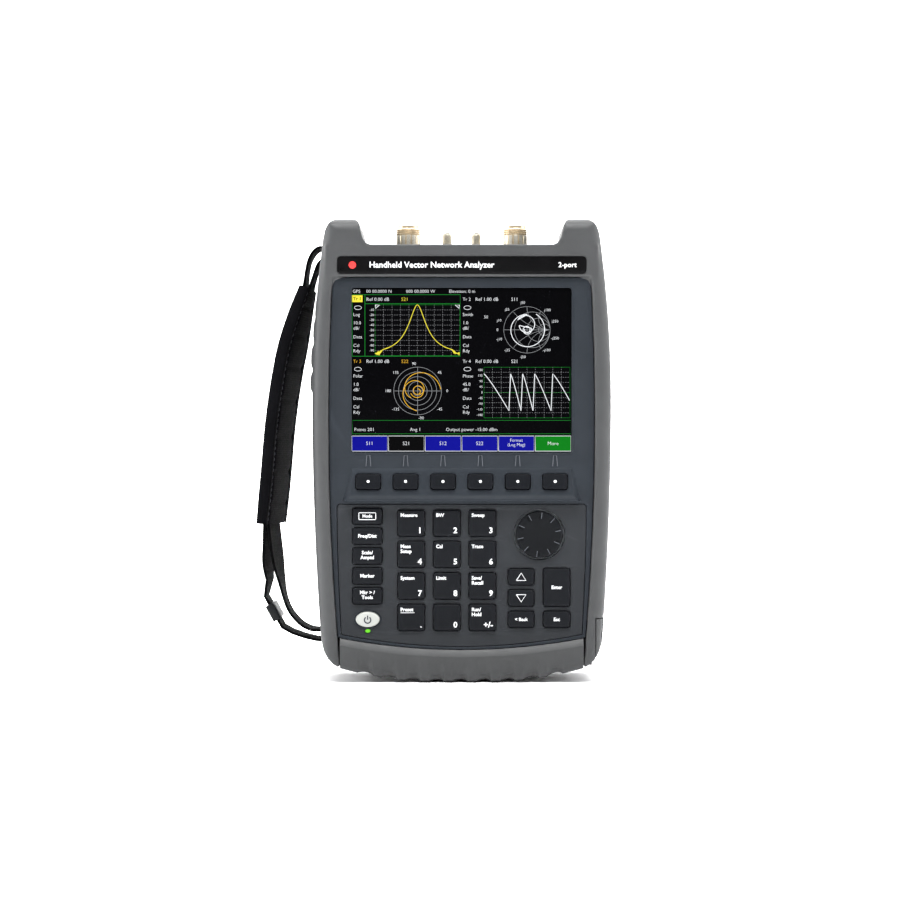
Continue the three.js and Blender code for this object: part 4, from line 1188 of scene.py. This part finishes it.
def polar_chart():
    """The third trace, a second reflection, on a polar chart."""
    x, z, radius = POLAR_CHART
    rings = [circle(x, z, radius * share) for share in (0.2, 0.4, 0.6, 0.8, 1.0)]
    rings += [[(x - radius, z), (x + radius, z)], [(x, z - radius), (x, z + radius)]]
    screen_strokes("polar", rings, 0.22, SCREEN_GREY)
    labels = [("0", 0), ("45", 42), ("90", 97), ("135", 138), ("180", 180), ("-135", 222), ("-90", 277),
              ("-45", 318)]
    words = []
    for label, angle in labels:
        turn = math.radians(angle)
        words.append((label, x + 18.6 * math.cos(turn), z + 17.2 * math.sin(turn), 2.6, "CENTER"))
    words += words_along(201.6, 3.1, ("Ref 1.00 dB", -60.0))
    screen_words("words_3", words + column_words(-68.2, 197.6, "Polar", "1.0"), SCREEN_WHITE)
    names = words_along(201.6, 3.1, ("S22", -38.0)) + words_along(201.6, 2.9, ("Tr 3", -68.2))
    screen_words("name_3", names, SCREEN_ORANGE)
    traces = [spiral(x, z, 14.6, 6.0, 0.62, 4), spiral(x, z, 12.6, 2.0, -0.95, 268, 0.8),
              spiral(x, z, 4.5, 1.2, 1.7, 200)]
    screen_strokes("trace_3", traces, 0.38, SCREEN_ORANGE, 0.06)


def phase_chart():
    """The fourth trace: phase against frequency, which wraps round from the foot of the grid to its top."""
    left, right, bottom, top = CHART_4
    screen_strokes("grid_4", grid_lines(left, right, bottom, top), 0.14, SCREEN_GREY)
    middle = (top + bottom) / 2
    edges = [box_line(left, right, bottom, top), [(left, middle), (right, middle)]]
    screen_strokes("grid_4_edge", edges, 0.2, SCREEN_GREEN)
    trace = []
    for start, end in PHASE_TEETH:
        for share in spread(0, 1, 12):
            across = start + (end - start) * share
            if across <= 1:
                level = 0.87 - 0.73 * share ** 1.15
                trace.append((left + (right - left) * across, bottom + (top - bottom) * level))
    screen_strokes("trace_4", [trace], 0.42, SCREEN_WHITE, 0.06)
    words = [(str(45 * step), 13.2, middle + (top - bottom) * step / 9, 2.1, "RIGHT")
             for step in range(-4, 5)]
    words += words_along(201.6, 3.1, ("Ref 0.00 dB", 8.5), ("S21", 31.0))
    words += words_along(201.6, 2.9, ("Tr 4", 0.6))
    screen_words("words_4", words + column_words(0.6, 197.6, "Phase", "45.0"), SCREEN_WHITE)


def screen_bars():
    """The status line along the top, the settings line, and the six softkey labels."""
    status = words_along(245.6, 2.9, ("GPS", -68.6), ("00 00.0000 N", -60.0), ("000 00.0000 W", -35.0),
                         ("Elevation: 0 m", -8.0))
    screen_words("status", status, SCREEN_WHITE)
    screen_strokes("settings_frame", [box_line(-68.6, 68.4, 156.2, 164.6)], 0.25, SCREEN_GREEN)
    settings = words_along(158.8, 3.0, ("Points 201", -67.6), ("Avg 1", -32.5),
                           ("Output power -15.00 dBm", -10.0))
    screen_words("settings", settings, SCREEN_WHITE)
    labels = ["S11", "S21", "S12", "S22", "Format\n(Log Mag)", "More"]
    pitch = 23.05
    boxes = [(-69.0 + pitch * i, -69.0 + pitch * i + 22.3, 145.3, 154.8) for i in range(6)]
    screen_fill("labels_blue", [box for i, box in enumerate(boxes) if i not in (1, 5)], SCREEN_BLUE)
    screen_fill("labels_black", [boxes[1]], SCREEN_BLACK)
    screen_fill("labels_green", [boxes[5]], SCREEN_DARK_GREEN)
    screen_strokes("label_edges", [box_line(*box) for box in boxes], 0.28, SCREEN_WHITE)
    words = []
    for label, (left, right, bottom, top) in zip(labels, boxes):
        size, drop = (2.8, 0.6) if "\n" in label else (3.2, 0.0)
        words.append((label, (left + right) / 2, (bottom + top) / 2 + drop, size, "CENTER"))
    screen_words("label_words", words, SCREEN_WHITE)
    icons = [closed(oval(x, z, 4.4, 2.4, 28)) for z in (235.4, 196.8) for x in (-65.2, 3.6)]
    screen_strokes("icons", icons, 0.24, SCREEN_WHITE)


# ---------------------------------------------------------------- back of the case
def back_plate(outlines, proud, sunk, edge):
    """A plate for the back, drawn facing forwards and turned afterwards with all the others."""
    return plate_mesh(outlines, -(HOUSING_FACE + proud), -(HOUSING_FACE - sunk), edge)


def rear_shell():
    """The back of the housing between the bumpers, with cooling ribs, stand lugs and screws."""
    parts = [back_plate([panel_outline(0.7, CORE_TOP - 0.5, 0.7, 6.0)], 0, 3.2, 1.0)]
    recess = [rounded_rectangle(0, 141, 104, 108, 6), rounded_rectangle(0, 141, 100.5, 104.5, 4.5)]
    parts.append(back_plate(recess, 0.6, 0.5, 0.3))
    for step in range(6):
        parts.append(back_plate([rounded_rectangle(0, 206 + 9.5 * step, 104, 3.0, 1.4)], 1.0, 0.5, 0.5))
    for x in (-50.3, 50.3):
        parts.append(back_plate([rounded_rectangle(x, STAND_AXIS, 5.8, 6.4, 1.6)], 3.8, 0.6, 0.7))
    add_object("rear_shell", about_face(joined(parts)), REAR, HOUSING, ["rear_housing"])
    turn = Matrix.Rotation(math.radians(-90), 4, "X")
    screws = [screw_head(x, HOUSING_FACE, z, turn, 3.0) for x in (-71, 71) for z in (62, 160, 258)]
    add_object("rear_screws", joined(screws), STEEL, HOUSING)


def rear_label():
    label = back_plate([rounded_rectangle(0, 58, 96, 34, 2)], 0.15, 0.3, 0.05)
    add_object("rear_label", about_face(label), LABEL, HOUSING)
    items = words_along(69, 4.0, ("VECTOR NETWORK ANALYZER", -43))
    for z, words in ((62, "Input 15 V DC   4 A"), (56, "Battery 10.8 V"), (50, "No user parts inside")):
        items += words_along(z, 3.2, (words, -43))
    words = about_face(text_mesh(items, -(HOUSING_FACE + 0.15), 0.05))
    add_object("rear_label_words", words, DARK_INK, HOUSING)


def tilt_stand():
    """The fold-out stand: a ribbed flap under a round knuckle with a steel pin."""
    low, high = node_box("tilt_stand")
    half = STAND_HALF_WIDTH
    top = STAND_AXIS - 1
    flap = rounded_rectangle(0, (low.z + top) / 2, 2 * half, top - low.z, 5.0)
    parts = [plate_mesh([flap], -high.y + 0.05, -low.y - 0.3, 0.6)]
    for x in (-30, -15, 0, 15, 30):
        parts.append(plate_mesh([rounded_rectangle(x, 140, 2.4, 70, 1.1)], -high.y - 0.5, -high.y + 0.5, 0.4))
    for step in range(3):
        ridge = rounded_rectangle(0, low.z + 5 + 3.2 * step, 44, 1.4, 0.6)
        parts.append(plate_mesh([ridge], -high.y - 0.4, -high.y + 0.5, 0.35))
    place = placed(0, (low.y + high.y) / 2, STAND_AXIS, Matrix.Rotation(math.radians(90), 4, "Y"))
    knuckle = [(0.05, -half), (1.2, -half), (1.5, -half + 0.4), (1.5, half - 0.4), (1.2, half), (0.05, half)]
    mesh = joined([about_face(joined(parts)), turned("knuckle", knuckle, place, 32)])
    add_object("tilt_stand_flap", mesh, DARK, "tilt_stand", ["tilt_stand"])
    pin = [(0.05, -51), (1.0, -51), (1.1, -50.8), (1.1, 50.8), (1.0, 51), (0.05, 51)]
    add_object("tilt_stand_pin", turned("pin", pin, place, 24), STEEL, "tilt_stand")


# ---------------------------------------------------------------- sides
def side_doors():
    """The rubber flaps over the side connectors, and the battery door with its latch."""
    for node in ("right_port_door", "left_port_door"):
        mesh = softened(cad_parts[node].data, 0.45, 4)
        add_object(node + "_flap", shade(mesh, 60), RUBBER_DARK, node, [node])
    door = softened(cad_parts["battery_door"].data, 0.6, 3)
    add_object("battery_door_panel", shade(door, 60), REAR, "battery_door",
               ["battery_door"])
    latch = softened(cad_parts["battery_door_latch"].data, 0.3, 3)
    add_object("battery_door_latch_button", shade(latch, 60), DARK, "battery_door_latch",
               ["battery_door_latch"])


def battery():
    """The battery pack: a rounded case with a label, end contacts and a pull groove, and its bay."""
    low, high = node_box("battery_pack")
    case = modified(block_mesh(low, high), "BEVEL", width=2.0 * MM, segments=4)
    groove = block_mesh((high.x - 8, low.y - 1, high.z - 1.2), (high.x - 5, high.y + 1, high.z + 1))
    case = cut(case, [groove])
    add_object("battery_case", shade(case, 40), DARK, "battery_pack", ["battery_pack"])
    middle_y = (low.y + high.y) / 2
    outline = rounded_rectangle(0, middle_y, 110, 38, 2)
    label = laid(plate_mesh([outline], -high.z - 0.1, -high.z + 0.2, 0.05))
    add_object("battery_label", label, LABEL, "battery_pack")
    words = laid(text_mesh([("LITHIUM-ION BATTERY PACK", 0, middle_y + 8, 5, "CENTER"),
                            ("10.8 V   71 Wh", 0, middle_y - 2, 4.4, "CENTER")], -high.z - 0.1, 0.05))
    add_object("battery_words", words, DARK_INK, "battery_pack")
    bars = [block_mesh((low.x - 0.25, y - 1.2, 19), (low.x + 0.5, y + 1.2, 29)) for y in (-8, -4, 0, 4, 8)]
    add_object("battery_contacts", joined(bars), GOLD, "battery_pack")
    liner = cut(block_mesh(*BAY_LINER), [block_mesh(*BAY_INSIDE)])
    add_object("battery_bay", shade(liner, 30), DARK, HOUSING)


# ---------------------------------------------------------------- hand strap


def smoothstep(value, start, end):
    share = min(1.0, max(0.0, (value - start) / (end - start)))
    return share * share * (3 - 2 * share)


def leaned(points):
    """Strap points shifted sideways in proportion to Y: nothing at the lugs and most on the sleeve."""
    moved = []
    for x, y, z in points:
        share = smoothstep(266 - z, 0, 60) * smoothstep(z, 50, 80)
        moved.append((x + STRAP_LEAN * share * y, y, z))
    return moved


def smooth_path(points, divisions):
    """A curve through points, each part bending on towards the next."""
    path = []
    last = len(points) - 1
    for step in range(divisions + 1):
        place = min(step / divisions * last, last - 1e-9)
        index = int(place)
        t = place - index
        p0, p1, p2, p3 = (points[min(max(index + k, 0), last)] for k in (-1, 0, 1, 2))
        path.append(tuple(0.5 * (2 * b + (c - a) * t + (2 * a - 5 * b + 4 * c - d) * t * t
                                 + (3 * b - a - 3 * c + d) * t ** 3) for a, b, c, d in zip(p0, p1, p2, p3)))
    return path


def path_normals(path):
    normals = []
    for i in range(len(path)):
        before = Vector(path[max(i - 1, 0)])
        after = Vector(path[min(i + 1, len(path) - 1)])
        along = (after - before).normalized()
        normals.append(Vector((-along.y, along.x)))
    return normals


def swept(name, path, sections, angle=60.0):
    """A skin along a path in X and Z. Each section is a ring of (offset from the path, y) pairs."""
    rings = []
    for (x, z), normal, section in zip(path, path_normals(path), sections):
        rings.append(leaned([(x + normal.x * offset, y, z + normal.y * offset) for offset, y in section]))
    return ring_mesh(name, rings, angle=angle)


def sleeve_half_thickness(share):
    from_end = smoothstep(min(share, 1 - share), 0, 0.15)
    return 3.75 + (4.25 - 3.75) * from_end


def pucker(share):
    """How far the cross seams of the pad pull it in: 1 on a seam, fading within a few millimetres."""
    pull = 0.0
    for seam in (0.13, 0.26, 0.39, 0.52, 0.65, 0.78, 0.9):
        pull = max(pull, math.exp(-((share - seam) / 0.012) ** 2))
    return pull


def sleeve_section(share):
    """The pad's cross-section: crowned on both faces, pulled in along the edge seams and cross seams."""
    half = sleeve_half_thickness(share)
    section = []
    for i in range(96):
        angle = 2 * math.pi * i / 96
        cosine = math.cos(angle)
        sine = math.sin(angle)
        y = (SLEEVE_HALF_WIDTH - 0.6) * math.copysign(abs(cosine) ** 0.55, cosine)
        rise = half * math.copysign(abs(sine) ** 0.6, sine)
        edge_seam = math.exp(-((abs(y) - 18.6) / 1.1) ** 2)
        pull = 0.9 * (1 - (abs(y) / SLEEVE_HALF_WIDTH) ** 6) if sine > 0 else 0.35
        across = pull * pucker(share)
        wrinkle = 0.16 * noise.noise(Vector((share * 60, y * 0.16, 3.0 * math.copysign(1, sine))))
        rise -= math.copysign(min(abs(rise) * 0.6, 0.75 * edge_seam + across), sine)
        section.append((rise + wrinkle * min(1.0, abs(rise)), y))
    return section


def binding_section(share, side):
    """The tape folded over one edge of the pad."""
    half = sleeve_half_thickness(share) * 0.78 + 0.35
    section = []
    for i in range(32):
        angle = 2 * math.pi * i / 32
        y = 21.2 + 3.1 * math.copysign(abs(math.cos(angle)) ** 0.6, math.cos(angle))
        rise = half * math.copysign(abs(math.sin(angle)) ** 0.75, math.sin(angle))
        rise -= math.copysign(0.25 * math.exp(-((y - 20.2) / 0.5) ** 2), rise)
        rise += 0.06 * noise.noise(Vector((share * 90, y, side)))
        section.append((rise, side * y))
    return section


def band(name, path, width, thickness):
    """Flat webbing with rounded, slightly thicker edges and a woven-in rib along each side."""
    half = thickness / 2
    across = [(1.0, 0.0), (0.985, 0.7), (0.95, 1.0), (0.86, 1.0), (0.8, 0.86), (0.5, 0.84), (0.0, 0.84)]
    upper = [(share * width / 2, level * half) for share, level in across]
    upper += [(-y, rise) for y, rise in reversed(upper[:-1])]
    lower = [(y, -rise) for y, rise in reversed(upper[1:-1])]
    section = [(rise, y) for y, rise in upper + lower]
    return swept(name, path, [section] * len(path), 50)


def around_lug(node, start, end):
    """The middle line of webbing that turns round a lug, between two angles in degrees."""
    low, high = node_box(node)
    middle = (low + high) / 2
    radius = (high.x - low.x) / 2 + 0.3 + WEBBING_THICKNESS / 2
    return circle(middle.x, middle.z, radius, start, end, 20)


def stitches(path, face_offset, rows, spacing):
    """Rows of short thread stitches lying on a face of the strap."""
    normals = path_normals(path)
    meshes = []
    walked = 0.0
    for i in range(1, len(path)):
        walked += math.dist(path[i - 1], path[i])
        if walked < spacing:
            continue
        walked = 0.0
        (x0, z0), (x1, z1) = path[i - 1], path[i]
        along = (Vector((x1, z1)) - Vector((x0, z0))).normalized()
        lift = normals[i] * face_offset(i / (len(path) - 1))
        for y in rows:
            rings = []
            for step, thick in ((-1.1, 0.05), (-0.8, 0.2), (0, 0.26), (0.8, 0.2), (1.1, 0.05)):
                ring = []
                for angle in spread(0, 2 * math.pi * 5 / 6, 5):
                    spot = Vector((x1, z1)) + along * step + lift + normals[i] * thick * math.sin(angle)
                    ring.append((spot.x, y + thick * 1.2 * math.cos(angle), spot.y))
                rings.append(leaned(ring))
            meshes.append(ring_mesh("stitch", rings))
    return joined(meshes)


def spread_path(start, end, count):
    return [tuple(a + (b - a) * share for a, b in zip(start, end)) for share in spread(0, 1, count)]


def strap_sleeve():
    """The padded sleeve with its bound edges and two rows of stitches on each face."""
    path = smooth_path(SLEEVE_PATH, 150)
    shares = spread(0, 1, 150)
    pad = swept("sleeve", path, [sleeve_section(share) for share in shares])
    sleeve = add_object("strap_pad", pad, FABRIC, HOUSING, ["strap_sleeve"])
    tapes = [swept("tape", path, [binding_section(share, side) for share in shares]) for side in (-1, 1)]
    add_object("strap_pad_binding", joined(tapes), BINDING, HOUSING)
    threads = []
    for way in (-1, 1):
        def face_offset(share, way=way):
            return way * (sleeve_half_thickness(share) * 0.78 + 0.25)
        threads.append(stitches(path, face_offset, (-19.6, 19.6), 3.4))
    add_object("strap_pad_stitches", joined(threads), THREAD, HOUSING)


def strap_webbing():
    """The upper and lower webbing, each looped round its lug with both ends inside the sleeve."""
    upper = smooth_path(UPPER_INNER, 20) + around_lug("upper_strap_lug", *UPPER_TURN)
    upper += smooth_path(UPPER_OUTER, 34)
    lower = smooth_path(LOWER_OUTER, 26) + spread_path(BUCKLE_START, BUCKLE_END, 10)
    lower += smooth_path(LOWER_TO_LUG, 8) + around_lug("lower_strap_lug", *LOWER_TURN)
    lower += smooth_path(LOWER_INNER, 44)
    for name, path in (("upper", upper), ("lower", lower)):
        mesh = band(name, path, STRAP_WIDTH, WEBBING_THICKNESS)
        add_object(f"strap_{name}_band", mesh, WEBBING, HOUSING, ["strap_webbing_" + name])


def strap_lugs():
    """The steel bars, with rounded ends, that the webbing turns round."""
    for node in ("upper_strap_lug", "lower_strap_lug"):
        low, high = node_box(node)
        half = (high.y - low.y) / 2
        radius = (high.x - low.x) / 2
        profile = [(0.05, -half), (radius - 0.4, -half), (radius, -half + 0.4), (radius, half - 0.4),
                   (radius - 0.4, half), (0.05, half)]
        place = placed(*node_middle(node), Matrix.Rotation(math.radians(90), 4, "X"))
        add_object(node + "_bar", turned("bar", profile, place, 32), STEEL, HOUSING, [node])


def buckle():
    """The tri-glide buckle: a flat frame with a slot, lying along the lower run of the webbing."""
    start = Vector(BUCKLE_START)
    end = Vector(BUCKLE_END)
    along = (end - start).normalized()
    middle = (start + end) / 2
    outlines = [rounded_rectangle(0, 0, 31, 5.6, 1.8), rounded_rectangle(0, 0, 26, 2.3, 0.5)]
    shape = plate_mesh(outlines, -5.5, 5.5, 0.6)
    rows = ((0, along.x, -along.y), (1, 0, 0), (0, along.y, along.x))
    turn = Matrix([(*row, 0) for row in rows] + [(0, 0, 0, 1)])
    shape.transform(placed(middle.x, 0, middle.y, turn))
    tidy(shape)
    add_object("strap_buckle_frame", shape, DARK, "strap_buckle", ["strap_buckle"])


# ---------------------------------------------------------------- parts inside the case
def inner_parts():
    finishes = {"lcd_module": DARK, "keypad_membrane": SILICONE, "main_board": BOARD, "rf_module": SHIELD,
                "knob_encoder": SHIELD}
    for node, material in finishes.items():
        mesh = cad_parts[node].data
        mesh.materials.clear()
        mesh.materials.append(material)


# ---------------------------------------------------------------- studio
def paper_material():
    """Pale paper that glows a little more away from the middle, so that it stays white."""
    paper = Nodes("paper")
    blotch = paper.ranged(paper.noise(3.0), 0.0, 1.0)
    paper.link(paper.mixed(blotch, srgb(246, 246, 247), srgb(251, 251, 251)), "Base Color")
    paper.link(paper.ranged(paper.noise(40.0), 0.75, 0.85), "Roughness")
    reach = paper.add("ShaderNodeVectorMath", {0: paper.coords}, operation="LENGTH").outputs["Value"]
    paper.link(paper.ranged(reach, 0.0, 1.1, 0.11, 0.3), "Emission Strength")
    paper.set(Emission_Color=(1.0, 1.0, 1.0, 1.0))
    return paper.material


def backdrop():
    """A pale floor that curves up behind the object."""
    rings = []
    for x in (-4000, 4000):
        ring = [(x, -4000, 0), (x, 700, 0)]
        ring += [(x, 700 + 500 * math.sin(math.radians(a)), 500 - 500 * math.cos(math.radians(a)))
                 for a in range(10, 91, 10)]
        ring.append((x, 1200, 3000))
        rings.append(ring)
    mesh = ring_mesh("floor", rings, closed_ring=False, caps=False, angle=80)
    floor = bpy.data.objects.new("floor", mesh)
    bpy.context.collection.objects.link(floor)
    mesh.materials.append(paper_material())


def lighting():
    """Soft area lights aimed at the object, and an even white surround."""
    for name, place, size, power in LIGHTS:
        lamp = bpy.data.lights.new(name, "AREA")
        lamp.shape = "RECTANGLE"
        lamp.size, lamp.size_y = size
        lamp.energy = power
        holder = bpy.data.objects.new(name, lamp)
        bpy.context.collection.objects.link(holder)
        holder.location = place
        aim = Vector((0, 0, 0.14)) - Vector(place)
        holder.rotation_euler = aim.to_track_quat("-Z", "Y").to_euler()
    world = bpy.data.worlds.new("studio")
    world.use_nodes = True
    world.node_tree.nodes["Background"].inputs["Color"].default_value = (1.0, 1.0, 1.0, 1.0)
    world.node_tree.nodes["Background"].inputs["Strength"].default_value = 0.33
    bpy.context.scene.world = world


def camera():
    lens = bpy.data.cameras.new("camera")
    lens.lens = 86.0
    lens.sensor_width = 36.0
    lens.shift_x = -0.013
    holder = bpy.data.objects.new("camera", lens)
    bpy.context.collection.objects.link(holder)
    holder.location = (0.0, -1.383, 0.146)
    holder.rotation_euler = (math.radians(90), 0, 0)
    bpy.context.scene.camera = holder


# ---------------------------------------------------------------- all of it
protective_frame()
bottom_boot()
bezel_face()
keypad_panel()
softkey_ledge()
bezel_ticks()
display_rim()
flat_keys()
arrow_legends()
softkeys()
power_key()
knob()
top_panel()
port_connector("port_1_connector")
port_connector("port_2_connector")
antenna_connector("gps_antenna_connector")
antenna_connector("reference_connector")
title_strip()
display_window()
transmission_chart()
reflection_chart()
polar_chart()
phase_chart()
screen_bars()
rear_shell()
rear_label()
tilt_stand()
side_doors()
battery()
strap_sleeve()
strap_webbing()
buckle()
strap_lugs()
inner_parts()
backdrop()
lighting()
camera()
bpy.context.scene.view_settings.view_transform = "Standard"
